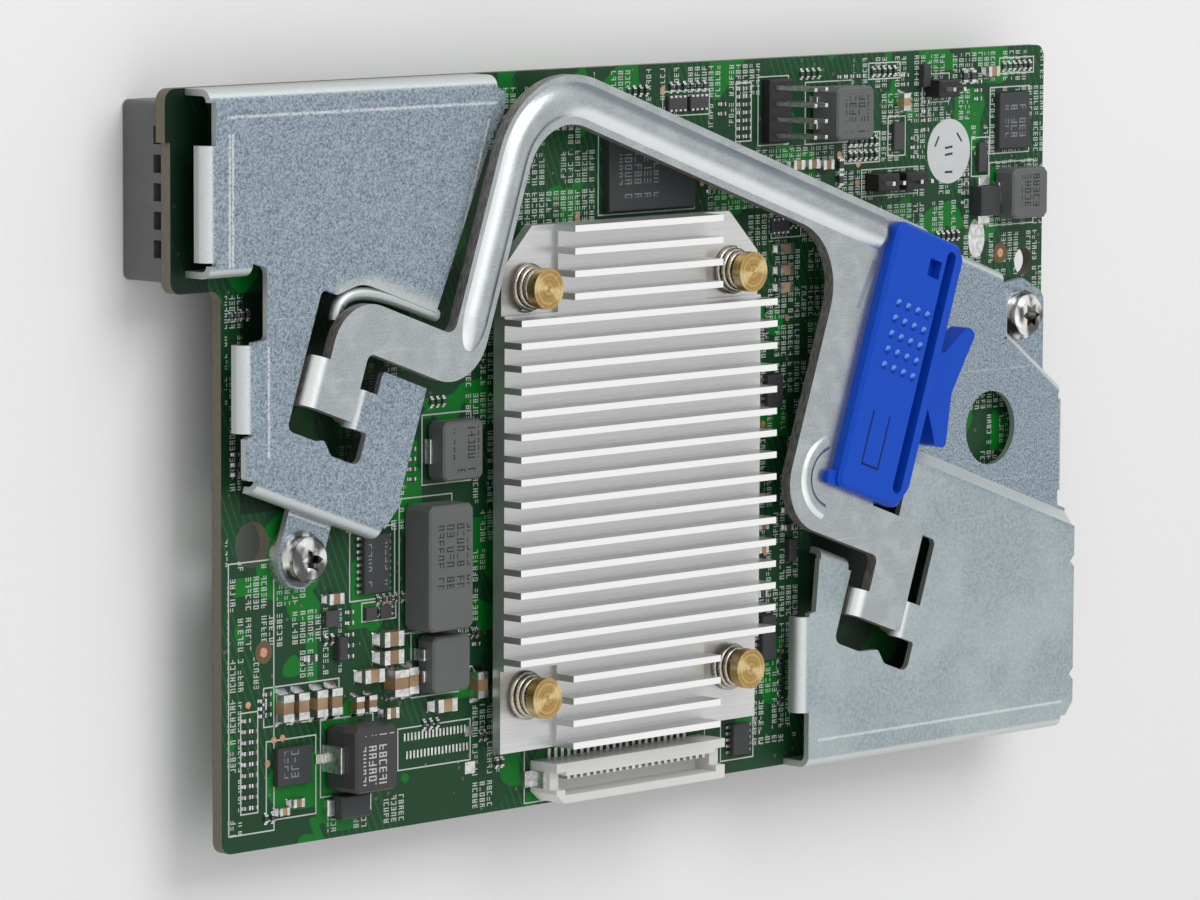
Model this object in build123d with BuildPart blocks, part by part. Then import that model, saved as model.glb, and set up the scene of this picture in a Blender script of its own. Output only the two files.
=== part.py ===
from build123d import *
import os
from math import atan2, cos, hypot, radians, sin

os.makedirs("parts", exist_ok=True)

# Mezzanine host bus adapter, lying component side up. All lengths are millimetres.
# Pieces are placed in board coordinates: X along the long edge from the board's lower
# left corner, Y across it, and heights counted from the component face.

# Circuit board
board_length = 147.0
board_width = 90.2
board_thickness = 1.6
board_corner = 1.5
tongue_reach = 8.65
tongue_width = 23.8
tongue_step = 0.8
tongue_step_y = board_width - 6.2
tooling_hole = 5.45
tooling_x = 4.86
tooling_y = 36.3
locating_hole = 3.6
locating_x = board_length - 3.7
locating_rise = 9.85

# Connector under the tongue, which plugs into the host board
mezzanine_length = 21.0
mezzanine_width = 18.0
mezzanine_height = 7.3
mezzanine_x = -7.1
mezzanine_y = board_width - 22.6
mezzanine_notch_pitch = 3.3
mezzanine_notch = 2.1
mezzanine_slot = 1.3
mezzanine_slot_pitch = 2.2
mezzanine_slot_depth = 4.5

# Folded sheet of both brackets
sheet = 0.8
plate_top = 4.4
fold_inner = 0.7
right_overhang = 2.2
lip_drop = 2.2
foot_top = 1.7
foot_radius = 3.6
joggle_drop = 1.8
joggle_run = 1.7
tab_top = 0.95
plate_hole = 4.85
plate_hole_x = board_length - 13.0
plate_hole_drop = 11.3
edge_notch = 0.8
head_reach = 17.8
head_lap = 0.1
tab_margin = 10.4
step_length = 7.37
joggle_low = 20.0

# Lever, formed from thicker sheet with a pressed rib
lever_sheet = 1.5
lever_gap = 0.3
lever_inner = 0.3
lever_tilt = -19.4
pivot_x = 11.75
pivot_y = board_width - tongue_width - 12.55
pivot_height = 2.4
left_leg = (-3.3, 4.3)
right_leg_margin = 42.63
leg_width = 9.3
leg_end = 2.1
arm_low = 6.4
arm_width = 5.8
bar_left = 17.2
bar_width = 5.6
top_bar_low = 42.1
top_bar_width = 6.0
grip_width = 16.4
grip_to_leg = 1.4
rib_width = 4.2
rib_height = 0.9
rib_start = 15.0
rib_to_grip = 6.0
rib_corner = 10.0
ear_radius = 2.0
left_ear_back = 4.0
right_ear_back = 1.4

# Pivot rivets and the bracket ears that hold them
ear_half = 2.4
ear_room = 1.7
slot_room = 0.5
rivet_radius = 0.9
rivet_head = 1.15
rivet_head_thickness = 0.5
rivet_head_gap = 0.3
rivet_clearance = 0.05

# Latch grip
latch_length = 35.1
latch_to_grip_edge = 9.1
latch_low = 12.4
latch_rise = 1.7
latch_panel = 10.1
latch_slot = 1.7
latch_wall = 1.8
latch_slot_depth = 3.0
latch_hole = 2.3
latch_nub = 1.4
tail_low = 22.3
latch_lip = 1.1
latch_hook = 2.4

# Heat sink on its chip
sink_left = 42.5
sink_to_lever = 1.82
sink_above_pivot = 17.9
sink_low = 7.7
sink_base = 1.9
sink_chamfer = 5.2
fin_short = 4
fin_pitch = 2.75
fin_thickness = 0.8
fin_height = 2.9
pocket_depth = 0.6
pocket_width = 8.8
chip_height = 2.0
chip_size = 27.0
pad_thickness = 0.3

# Heat sink screws and springs
screw_left = 46.65
screw_low = 14.55
screw_to_right = 5.0
screw_to_top = 7.4
shoulder_radius = 1.6
shoulder_room = 0.2
thread_radius = 1.2
thread_room = 0.05
thread_sides = 12
spring_length = 2.7
brass_head = 2.5
brass_head_thickness = 1.3
spring_wire = 0.5
spring_turns = 3
spring_steps = 10
spring_base_radius = 2.85
spring_top_radius = 2.05

# Bracket screws and the nuts behind the board
foot_along = 5.8
foot_across = -18.7
tab_screw_margin = 5.6
tab_screw_rise = 3.0
torx_head = 2.75
torx_head_height = 2.2
torx_flange = 3.3
torx_flange_height = 0.5
torx_shank = 1.3
socket_radius = 1.7
socket_lobe = 1.1
socket_depth = 1.3
shank_room = 0.15
nut_radius = 2.6
nut_height = 1.5

# Cable connector below the heat sink
cable_left = 51.4
cable_low = 0.6
cable_high = 5.6
cable_height = 4.5
cable_slot_floor = 1.0
cable_to_sink_edge = 6.4
contact_pitch = 1.15
contact_width = 0.5

# Pin headers, chips and capacitors
header_to_edge = 53.5
header_pitch = 2.0
header_rows = 4
header_base = 1.5
pin_width = 0.5
pin_height = 8.3
jumper_length = 4.0
jumper_width = 2.2
jumper_height = 2.5
lead_length = 0.7
lead_width = 0.35
lead_pitch = 0.8
capacitor_end = 0.28

# Heights that follow from the sizes above
back = -board_thickness
plate_low = plate_top - sheet
upper_top = plate_top - joggle_drop
lever_low = plate_top + lever_gap
lever_top = lever_low + lever_sheet
sink_under = chip_height + pad_thickness
sink_top = sink_under + sink_base
fold_reach = fold_inner + sheet
flange_drop = plate_top - 0.05
tongue_low = board_width - tongue_width
right_edge = board_length + right_overhang

# Places along the lever and over the heat sink that follow from the board's size
turn_cos = cos(radians(lever_tilt))
turn_sin = sin(radians(lever_tilt))
leg_start = (board_length - right_leg_margin - pivot_x) / turn_cos
right_leg = (leg_start, leg_start + leg_width)
grip_right = leg_start - grip_to_leg
grip_left = grip_right - grip_width
latch_left = grip_right - latch_to_grip_edge
fin_count = int((pivot_y + sink_above_pivot - fin_thickness - sink_low) / fin_pitch + 1.01)
sink_high = sink_low + (fin_count - 1) * fin_pitch + fin_thickness

# Model frame: centred under the part, on the surface that it lies on
corner_x = tongue_reach - (tongue_reach + right_edge) / 2
corner_y = -board_width / 2
face_z = mezzanine_height + board_thickness


def spot(x, y, height):
    """Point of the model frame for a place in board coordinates."""
    return Vector(corner_x + x, corner_y + y, face_z + height)


def deck(height=0.0):
    """Plane parallel to the board, in board coordinates, at a height above its face."""
    return Plane(spot(0, 0, height))


def from_lever(along, across):
    """Board coordinates of a place given along and across the hinge from the left pivot."""
    return (
        pivot_x + along * turn_cos - across * turn_sin,
        pivot_y + along * turn_sin + across * turn_cos,
    )


def along_at_edge(across):
    """Distance along the hinge where a line across it meets the bracket's right edge."""
    return (right_edge - pivot_x + across * turn_sin) / turn_cos


# Places on the board that follow from the lever's line and the board's edges
header_x = (board_length - header_to_edge, board_length - header_to_edge + header_pitch)
sink_right = from_lever(grip_left, arm_low)[0] - sink_to_lever
screw_span_x = sink_right - screw_to_right - screw_left
screw_span_y = sink_high - screw_to_top - screw_low
head_edge = leg_start + head_reach
upper_head = top_bar_low + top_bar_width + head_lap - fold_reach
step_x = board_length - tab_margin
step_y = from_lever(head_edge, upper_head)[1] - step_length
torx_left = from_lever(foot_along, foot_across)
torx_right = (board_length - tab_screw_margin, step_y + tab_screw_rise)


def lever_plane(height=0.0):
    """Plane parallel to the board with its X axis along the hinge, from the left pivot."""
    return Plane(spot(pivot_x, pivot_y, height), x_dir=(turn_cos, turn_sin, 0), z_dir=(0, 0, 1))


def hinge_plane(along):
    """Plane across the hinge axis at a distance from the left pivot, with the axis at its origin."""
    flat = lever_plane(pivot_height)
    return Plane(flat.from_local_coords((along, 0, 0)), x_dir=flat.y_dir, z_dir=flat.x_dir)


def plate(*corners):
    """Closed flat outline through corners given as (x, y, corner radius)."""
    with BuildSketch() as shape:
        with BuildLine():
            FilletPolyline([(x, y) for x, y, _ in corners], radius=[r for *_, r in corners], close=True)
        make_face()
    return shape.sketch


def fold(start, end, drop, top=plate_top, frame=deck, thickness=sheet, inner=fold_inner):
    """Down-turned flange along a plate edge, with the open side on the left of start to end."""
    outer = inner + thickness
    base = frame(top)
    heading = atan2(end[1] - start[1], end[0] - start[0])
    origin = base.from_local_coords((start[0], start[1], 0))
    ahead = base.from_local_coords((start[0] + cos(heading), start[1] + sin(heading), 0)) - origin
    side = Vector(0, 0, 1).cross(ahead)
    with BuildPart() as flange:
        with BuildSketch(Plane(origin, x_dir=side, z_dir=ahead)):
            with BuildLine():
                Line((-0.02, -thickness), (-0.02, 0))
                Line((-0.02, 0), (0, 0))
                CenterArc((0, -outer), outer, 90, -90)
                Line((outer, -outer), (outer, -drop))
                Line((outer, -drop), (inner, -drop))
                Line((inner, -drop), (inner, -outer))
                CenterArc((0, -outer), inner, 0, 90)
                Line((0, -thickness), (-0.02, -thickness))
            make_face()
        extrude(amount=hypot(end[0] - start[0], end[1] - start[1]))
    return flange.part


def ear(face, thickness, low, front, behind, top):
    """Rounded ear across the hinge axis, hanging from a bend."""
    with BuildPart() as wall:
        with BuildSketch(hinge_plane(face)):
            with BuildLine():
                Polyline((low, 0), (behind, top), (-front, top), (-low, 0))
                CenterArc((0, 0), low, 180, 180)
            make_face()
        extrude(amount=thickness)
    return wall.part


def rivet_hole(face, thickness, radius):
    """Cylinder on the hinge axis to cut from an ear."""
    with BuildPart() as hole:
        with BuildSketch(hinge_plane(face)):
            Circle(radius)
        extrude(amount=thickness)
    return hole.part


def bracket_ear(face):
    """Bracket ear beside a lever leg, with the bend that joins it to the plate."""
    edge = face + fold_reach
    wall = ear(face, sheet, ear_radius, ear_half, ear_half, plate_top - fold_reach - pivot_height)
    bend = fold((edge, -ear_half), (edge, ear_half), fold_reach + 0.02, frame=lever_plane)
    return wall + bend - rivet_hole(face, sheet, rivet_radius)


def lever_ear(face, behind):
    """Lever ear at the outer side of a leg, with the bend that joins it to the leg."""
    wall = ear(face, lever_sheet, ear_radius, leg_end, behind, lever_low - lever_inner - pivot_height)
    edge = face + lever_inner + lever_sheet
    bend = fold(
        (edge, -leg_end), (edge, behind), lever_inner + lever_sheet + 0.02,
        lever_top, lever_plane, lever_sheet, lever_inner,
    )
    return wall + bend - rivet_hole(face, lever_sheet, rivet_radius + rivet_clearance)


def finish(piece, label):
    """Name a finished piece and write it out."""
    piece.part.label = label
    export_step(piece.part, f"parts/{label}.step")


# Circuit board with its tongue, tooling holes and screw holes
screw_spots = [
    (screw_left + i * screw_span_x, screw_low + j * screw_span_y) for i in (0, 1) for j in (0, 1)
]
with BuildPart() as circuit_board:
    with BuildSketch(deck(back)):
        add(plate(
            (0, 0, board_corner),
            (board_length, 0, board_corner),
            (board_length, board_width, board_corner),
            (-tongue_reach, board_width, board_corner),
            (-tongue_reach, tongue_step_y, 0),
            (-tongue_reach + tongue_step, tongue_step_y, 0),
            (-tongue_reach + tongue_step, tongue_low, board_corner),
            (0, tongue_low, board_corner),
        ))
        with Locations((tooling_x, tooling_y)):
            Circle(tooling_hole / 2, mode=Mode.SUBTRACT)
        with Locations((locating_x, step_y + locating_rise)):
            Circle(locating_hole / 2, mode=Mode.SUBTRACT)
        with Locations(*screw_spots):
            RegularPolygon(thread_radius + shank_room, thread_sides, mode=Mode.SUBTRACT)
        with Locations(torx_left, torx_right):
            RegularPolygon(torx_shank + shank_room, thread_sides, mode=Mode.SUBTRACT)
    extrude(amount=board_thickness)
finish(circuit_board, "circuit_board")

# Mezzanine connector: a shroud with contact slots below and notches beside the board
mezzanine_middle = (mezzanine_x + mezzanine_width / 2, mezzanine_y + mezzanine_length / 2)
with BuildPart() as mezzanine_connector:
    with BuildSketch(deck(back)):
        with Locations(mezzanine_middle):
            RectangleRounded(mezzanine_width, mezzanine_length, 0.8)
    extrude(amount=-mezzanine_height)
    with BuildSketch(deck(back)):
        with Locations(mezzanine_middle):
            with GridLocations(mezzanine_width, mezzanine_notch_pitch, 2, 5):
                Rectangle(2 * mezzanine_notch, mezzanine_notch)
    extrude(amount=-mezzanine_notch, mode=Mode.SUBTRACT)
    with BuildSketch(deck(back - mezzanine_height)):
        with Locations(mezzanine_middle):
            with GridLocations(mezzanine_slot_pitch, 0, 7, 1):
                Rectangle(mezzanine_slot, mezzanine_length - 3)
    extrude(amount=mezzanine_slot_depth, mode=Mode.SUBTRACT)
finish(mezzanine_connector, "mezzanine_connector")

# Left bracket: one folded sheet over the tongue, with the left pivot's opening
left_ear_face = left_leg[1] + ear_room
left_ear_edge = left_ear_face + fold_reach
left_slot = left_leg[0] - slot_room
tongue_edge = -4.7
flange_end = -5.6
bracket_top = board_width - fold_reach
tongue_fold = tongue_low + 1.9 + fold_reach
lip_x = 1.1
foot_edge = -12.3
foot_left = foot_along - foot_radius
foot_low = foot_across
lip_end = tongue_low - 5.8
side_along = 16.6
with BuildPart() as left_bracket:
    with BuildSketch(deck(plate_low)):
        add(plate(
            (tongue_edge, bracket_top, 0),
            (41.2, bracket_top, 0.6),
            (42.6, board_width - 2.2, 0.8),
            (41.6, board_width - 6.5, 0.4),
            (40.4, board_width - 6.7, 0),
            (*from_lever(15.0, 13.0), 0),
            (*from_lever(side_along, 5.3), 0.8),
            (*from_lever(side_along, -8.0), 0),
            (*from_lever(side_along + 0.5, -8.6), 0.4),
            (*from_lever(15.5, foot_edge), 0),
            (*from_lever(-6.4, foot_edge), 0),
            (-0.2, lip_end - 16.0, 0.5),
            (-0.2, lip_end - 11.2, 0),
            (lip_x, lip_end - 10.8, 0),
            (lip_x, lip_end, 0),
            (3.3, lip_end + 0.2, 0.7),
            (3.3, tongue_fold - 0.6, 1.0),
            (1.2, tongue_fold, 0),
            (tongue_edge, tongue_fold, 0),
        ))
    extrude(amount=sheet)
    add(fold((flange_end, bracket_top), (41.0, bracket_top), flange_drop))
    add(fold((1.0, tongue_fold), (flange_end, tongue_fold), flange_drop))
    add(fold((tongue_edge, tongue_fold + 0.4), (tongue_edge, bracket_top - 5.0), lip_drop))
    add(fold((lip_x, lip_end - 10.6), (lip_x, lip_end - 0.3), lip_drop))
    add(fold((15.0, foot_edge), (-6.2, foot_edge), lip_drop, frame=lever_plane))
    with BuildSketch(lever_plane(plate_low)):
        add(plate(
            (side_along + 3, 14.3, 0),
            (2.3, 14.3, 5.0),
            (-1.2, 11.8, 0.5),
            (left_slot, 11.8, 0.8),
            (left_slot, -5.4, 1.0),
            (1.2, -5.4, 0.8),
            (2.4, -4.9, 0.8),
            (4.0, -6.4, 1.0),
            (left_ear_edge + 1.3, -6.4, 1.2),
            (left_ear_edge + 1.3, -ear_half, 0.4),
            (left_ear_edge, -ear_half, 0),
            (left_ear_edge, ear_half, 0),
            (left_ear_edge + 1.5, ear_half, 0),
            (left_ear_edge + 1.5, 5.3, 0.5),
            (side_along + 3, 5.3, 0),
        ))
    extrude(amount=sheet, mode=Mode.SUBTRACT)
    add(bracket_ear(left_ear_face))
    with BuildSketch(lever_plane(foot_top - sheet)):
        with Locations((foot_left + foot_radius, (foot_edge - fold_inner + foot_low) / 2)):
            Rectangle(2 * foot_radius, foot_edge - fold_inner - foot_low)
        with Locations((foot_left + foot_radius, foot_low)):
            Circle(foot_radius)
    extrude(amount=sheet)
    with BuildSketch(deck(foot_top - sheet)):
        with Locations(torx_left):
            RegularPolygon(torx_shank + shank_room, thread_sides)
    extrude(amount=sheet, mode=Mode.SUBTRACT)
    add(fold((foot_left + 2 * foot_radius, foot_edge), (foot_left, foot_edge),
             plate_top - foot_top + sheet, frame=lever_plane))
finish(left_bracket, "left_bracket")

# Right bracket: lower plate, joggled upper plate and the screw tab in one folded sheet
right_ear_face = right_leg[1] + ear_room
right_ear_edge = right_ear_face + fold_reach
right_slot = right_leg[0] - slot_room
joggle_end = joggle_low + joggle_run
cut_edge = leg_start + 6.0
hidden_edge = leg_start + 0.3
lip_edge = leg_start - 6.8
side_corner = from_lever(along_at_edge(joggle_end) - fold_reach, joggle_end)
side_low = side_corner[1] + 2.0
side_high = step_y - 7.8
edge_corner = from_lever(along_at_edge(joggle_low), joggle_low)
lip_corner = from_lever(lip_edge, 3.4)
left_lip_x = board_length - 49.8
left_lip_high = lip_corner[1] - 6.9
tab_edge = board_length - 0.6
tab_drop = upper_top - tab_top + sheet
notches = [
    corner for y in (edge_corner[1] * 0.26, edge_corner[1] - 4.64)
    for corner in (
        (right_edge, y - edge_notch, 0),
        (right_edge - edge_notch, y, 0),
        (right_edge, y + edge_notch, 0),
    )
]
with BuildPart() as right_bracket:
    with BuildSketch(deck(plate_low)):
        add(plate(
            (left_lip_x, fold_reach, 0),
            (right_edge - 1.5, fold_reach, 0),
            (right_edge, fold_reach + 1.8, 1.0),
            *notches,
            (*edge_corner, 0),
            (*from_lever(cut_edge, joggle_low), 0),
            (*from_lever(cut_edge, 11.2), 1.5),
            (*from_lever(right_ear_edge + 1.5, 11.2), 0.8),
            (*from_lever(right_ear_edge + 1.5, ear_half), 0),
            (*from_lever(right_ear_edge, ear_half), 0),
            (*from_lever(right_ear_edge, -ear_half), 0),
            (*from_lever(right_ear_edge + 1.9, -ear_half), 0.4),
            (*from_lever(right_ear_edge + 1.9, -6.3), 1.2),
            (*from_lever(right_leg[1] + 0.5, -6.3), 1.0),
            (*from_lever(right_leg[1] - 1.3, -4.9), 0.8),
            (*from_lever(right_leg[0] + 4.6, -6.0), 1.0),
            (*from_lever(right_slot, -6.0), 1.2),
            (*from_lever(right_slot, 3.4), 0),
            (*lip_corner, 0),
            (left_lip_x + 1.2, left_lip_high + 0.2, 0),
            (left_lip_x, left_lip_high, 0),
        ))
    extrude(amount=sheet)
    high = plate_top - pivot_height
    with BuildSketch(hinge_plane(cut_edge)):
        with BuildLine():
            Polyline(
                (joggle_low - 0.4, high), (joggle_low, high), (joggle_end, high - joggle_drop),
                (joggle_end + 0.4, high - joggle_drop), (joggle_end + 0.4, high - joggle_drop - sheet),
                (joggle_end - 0.4, high - joggle_drop - sheet), (joggle_low - 0.4, high - sheet), close=True)
        make_face()
    extrude(amount=along_at_edge(joggle_end) - cut_edge)
    with BuildSketch(deck(upper_top - sheet)):
        add(plate(
            (*from_lever(cut_edge, joggle_end), 0),
            (*side_corner, 0),
            (right_edge - fold_reach, side_low, 0),
            (right_edge - fold_reach, side_high, 0),
            (step_x + 0.4, step_y, 0),
            (step_x, step_y + 0.4, 0),
            (step_x, step_y + 6.8, 0),
            (*from_lever(head_edge, upper_head), 0),
            (*from_lever(hidden_edge, upper_head), 0),
            (*from_lever(hidden_edge, 24.5), 1.0),
            (*from_lever(cut_edge, 24.0), 1.0),
        ))
        with Locations((plate_hole_x, step_y - plate_hole_drop)):
            Circle(plate_hole, mode=Mode.SUBTRACT)
    extrude(amount=sheet)
    with BuildSketch(deck(tab_top - sheet)):
        add(plate(
            (step_x + fold_inner, step_y + 7.2, 0),
            (step_x + fold_inner, step_y + 1.0, 0),
            (step_x + fold_inner + 1.5, step_y, 0),
            (tab_edge, step_y - 5.1, 0),
            (tab_edge, step_y + 5.6, 2.0),
            (tab_edge - 4.4, step_y + 7.8, 1.0),
        ))
        with Locations(torx_right):
            RegularPolygon(torx_shank + shank_room, thread_sides, mode=Mode.SUBTRACT)
    extrude(amount=sheet)
    add(fold((step_x, step_y + 6.8), (step_x, step_y + 0.4), tab_drop, top=upper_top))
    add(fold((step_x + 0.4, step_y), (right_edge - fold_reach, side_high), tab_drop, top=upper_top))
    side_x = right_edge - fold_reach
    add(fold((side_x, side_high - 0.8), (side_x, side_low + 0.4), lip_drop - 0.3, top=upper_top))
    add(fold((hidden_edge + 1, upper_head), (head_edge - 0.4, upper_head), lip_drop, upper_top, lever_plane))
    add(fold((right_edge - 2.4, fold_reach), (left_lip_x, fold_reach), flange_drop))
    add(fold((left_lip_x, left_lip_high * 0.36), (left_lip_x, left_lip_high - 0.4), lip_drop))
    add(fold((lip_edge + 0.2, 3.4), (right_slot - 0.6, 3.4), lip_drop, frame=lever_plane))
    add(bracket_ear(right_ear_face))
finish(right_bracket, "right_bracket")

# Lever handle: a bent strap with two ears, a pressed rib and a grip plate
left_leg_edge = left_leg[0] + lever_inner + lever_sheet
right_leg_edge = right_leg[0] + lever_inner + lever_sheet
arm_high = arm_low + arm_width
right_arm_low = arm_low - 0.3
bar_right = bar_left + bar_width
top_bar_high = top_bar_low + top_bar_width
rib_path = [
    (bar_left + bar_width / 2, rib_start),
    (bar_left + bar_width / 2, top_bar_low + top_bar_width / 2),
    (grip_left + rib_to_grip, top_bar_low + top_bar_width / 2),
]


def rib(height, rounded):
    """Rib along the strap on a plane at the given height, rounded or with sloping sides."""
    frame = lever_plane(height)
    corners = [frame.from_local_coords((x, y, 0)) for x, y in rib_path]
    half = rib_width / 2
    with BuildPart() as bead:
        with BuildLine() as path:
            FilletPolyline(*corners, radius=rib_corner)
        with BuildSketch(Plane(path.line @ 0, x_dir=-frame.x_dir, z_dir=frame.y_dir)):
            with BuildLine():
                if rounded:
                    ThreePointArc((-half, 0), (0, rib_height), (half, 0))
                else:
                    Polyline((-half, 0), (-half / 2, rib_height), (half / 2, rib_height), (half, 0))
                Line((half, 0), (-half, 0))
            make_face()
        sweep()
    return bead.part


with BuildPart() as lever_handle:
    with BuildSketch(lever_plane(lever_low)):
        add(plate(
            (left_leg_edge, -leg_end, 0),
            (left_leg[1], -leg_end, 0.5),
            (left_leg[1], arm_low, 1.0),
            (bar_right, arm_low, 6.5),
            (bar_right, top_bar_low, 7.5),
            (grip_left, top_bar_low, 8.5),
            (grip_left, right_arm_low, 6.5),
            (right_leg_edge, right_arm_low, 1.0),
            (right_leg_edge, -leg_end, 0),
            (right_leg[1], -leg_end, 0.5),
            (right_leg[1], arm_high - 0.2, 1.5),
            (grip_right, arm_high - 0.2, 0.3),
            (grip_right, top_bar_high, 3.0),
            (bar_left, top_bar_high, 13.0),
            (bar_left, arm_high, 1.5),
            (left_leg_edge, arm_high, 6.0),
        ))
    extrude(amount=lever_sheet)
    add(rib(lever_low, False), mode=Mode.SUBTRACT)
    add(rib(lever_top, True))
    add(lever_ear(left_leg[0], left_ear_back))
    add(lever_ear(right_leg[0], right_ear_back))
finish(lever_handle, "lever_handle")

# Pivot rivets: a shank through both ears, headed beside the lever and flush in the bracket
rivet_spans = [
    (left_leg[0], left_ear_face + sheet),
    (right_leg[0], right_ear_face + sheet),
]
with BuildPart() as pivot_rivets:
    for near, far in rivet_spans:
        head_face = near - rivet_head_gap - rivet_head_thickness
        with BuildSketch(hinge_plane(head_face)):
            Circle(rivet_radius)
        extrude(amount=far - head_face)
        with BuildSketch(hinge_plane(head_face)):
            Circle(rivet_head)
        extrude(amount=rivet_head_thickness)
finish(pivot_rivets, "pivot_rivets")

# Latch grip: a moulded clip over the lever's grip plate, with a hooked tail
latch_high = latch_low + latch_length
latch_top = lever_top + latch_rise
wall_left = grip_right + 0.3
wall_right = latch_left + latch_panel + latch_slot + latch_wall
latch_under = lever_low - latch_lip
wall_thickness = wall_right - wall_left - 0.3
latch_middle = (latch_low + latch_high) / 2
with BuildPart() as latch_grip:
    with BuildSketch(lever_plane(lever_top)):
        add(plate(
            (latch_left, latch_low, 1.2),
            (wall_right - 1.6, latch_low, 1.6),
            (wall_right, latch_low + 3.0, 2.0),
            (wall_right, latch_high - 1.5, 1.4),
            (wall_right - 1.4, latch_high, 1.2),
            (latch_left, latch_high, 1.6),
        ))
    extrude(amount=latch_rise)
    chamfer(latch_grip.faces().sort_by(Axis.Z)[-1].edges(), 0.45)
    with BuildSketch(lever_plane(latch_under)):
        with Locations(((wall_left + wall_right) / 2, latch_middle + 0.9)):
            RectangleRounded(wall_thickness, latch_length - 2.4, 0.35 * wall_thickness)
    extrude(amount=lever_top - latch_under + 0.5)
    with BuildSketch(lever_plane(latch_under)):
        with Locations(((wall_left + grip_right - latch_hook) / 2, latch_middle)):
            Rectangle(latch_hook + 0.6, latch_length / 2)
    extrude(amount=latch_lip - 0.3)
    with BuildSketch(lever_plane(latch_under - 0.2)):
        add(plate(
            (wall_right - 0.4, tail_low + 4.6, 0),
            (wall_right + 1.3, tail_low + 4.4, 0.5),
            (wall_right + 3.2, tail_low + 1.9, 0.6),
            (wall_right + 4.5, tail_low, 0.8),
            (wall_right + 6.6, tail_low + 0.2, 0.8),
            (wall_right + 5.3, tail_low + 7.2, 3.0),
            (wall_right + 6.4, tail_low + 12.2, 2.0),
            (wall_right + 7.3, tail_low + 15.8, 0.7),
            (wall_right + 5.5, tail_low + 16.3, 0.8),
            (wall_right + 2.1, tail_low + 11.7, 0.6),
            (wall_right - 0.4, tail_low + 11.4, 0),
        ))
    extrude(amount=lever_top - latch_under + 0.2)
    with BuildSketch(lever_plane(lever_top)):
        with Locations((latch_left, latch_low + 0.9)):
            RectangleRounded(2 * latch_nub, 1.8, 0.7)
    extrude(amount=0.9)
    with BuildSketch(lever_plane(latch_top)):
        with Locations((latch_left + latch_panel + latch_slot / 2, latch_middle + 0.3)):
            SlotOverall(latch_length - 3.0, latch_slot, rotation=90)
    extrude(amount=-latch_slot_depth, mode=Mode.SUBTRACT)
    with BuildSketch(lever_plane(latch_top)):
        with Locations((latch_left + latch_panel - latch_hole / 2 - 0.7, latch_high - 4.2)):
            Rectangle(latch_hole, latch_hole)
    extrude(amount=-latch_rise + 0.2, mode=Mode.SUBTRACT)
finish(latch_grip, "latch_grip")

# Controller chip, its thermal pad and the finned heat sink
sink_middle = ((sink_left + sink_right) / 2, (sink_low + sink_high) / 2)
fin_left = screw_left + pocket_width / 2 + 0.6
fin_right = screw_left + screw_span_x - pocket_width / 2 + 0.6
pocket_floor = sink_top - pocket_depth
with BuildPart() as controller_chip:
    with BuildSketch(deck(0)):
        with Locations(sink_middle):
            Rectangle(chip_size, chip_size)
    extrude(amount=0.9)
    with BuildSketch(deck(0.9)):
        with Locations(sink_middle):
            RectangleRounded(chip_size - 3.0, chip_size - 3.0, 1.0)
    extrude(amount=chip_height - 0.9)
finish(controller_chip, "controller_chip")

with BuildPart() as thermal_pad:
    with BuildSketch(deck(chip_height)):
        with Locations(sink_middle):
            Rectangle(chip_size - 5.0, chip_size - 5.0)
    extrude(amount=pad_thickness)
finish(thermal_pad, "thermal_pad")

with BuildPart() as heat_sink:
    with BuildSketch(deck(sink_under)):
        add(plate(
            (sink_left, sink_low, 0),
            (sink_right, sink_low, 0),
            (sink_right, sink_high - sink_chamfer, 0),
            (sink_right - sink_chamfer, sink_high, 0),
            (sink_left + sink_chamfer, sink_high, 0),
            (sink_left, sink_high - sink_chamfer, 0),
        ))
    extrude(amount=sink_base)
    with BuildSketch(deck(sink_top - 0.1)):
        for row in range(fin_count):
            short = row < fin_short or row >= fin_count - fin_short
            ends = (fin_left, fin_right) if short else (sink_left, sink_right)
            with Locations(((ends[0] + ends[1]) / 2, sink_low + row * fin_pitch + fin_thickness / 2)):
                Rectangle(ends[1] - ends[0], fin_thickness)
    extrude(amount=fin_height + 0.1)
    with BuildSketch(deck(pocket_floor)):
        for i in (0, 1):
            for j in (0, 1):
                with Locations((
                    screw_left + i * screw_span_x + (2 * i - 1) * 1.2,
                    screw_low + j * screw_span_y + (2 * j - 1) * 3.0,
                )):
                    Rectangle(pocket_width + 3.6, 12.6)
    extrude(amount=fin_height + 1.0, mode=Mode.SUBTRACT)
    with BuildSketch(deck(sink_under)):
        with Locations(*screw_spots):
            RegularPolygon(shoulder_radius + shoulder_room, thread_sides)
    extrude(amount=sink_base, mode=Mode.SUBTRACT)
finish(heat_sink, "heat_sink")

# Shouldered spring screws through the heat sink and the board
head_low = pocket_floor + spring_length
thread_end = back - nut_height - 0.3
with BuildPart() as spring_screws:
    with BuildSketch(deck(0)):
        with Locations(*screw_spots):
            RegularPolygon(shoulder_radius, thread_sides)
    extrude(amount=head_low)
    with BuildSketch(deck(head_low)):
        with Locations(*screw_spots):
            Circle(brass_head)
    extrude(amount=brass_head_thickness)
    with BuildSketch(deck(thread_end)):
        with Locations(*screw_spots):
            RegularPolygon(thread_radius, thread_sides)
    extrude(amount=-thread_end)
finish(spring_screws, "spring_screws")

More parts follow.
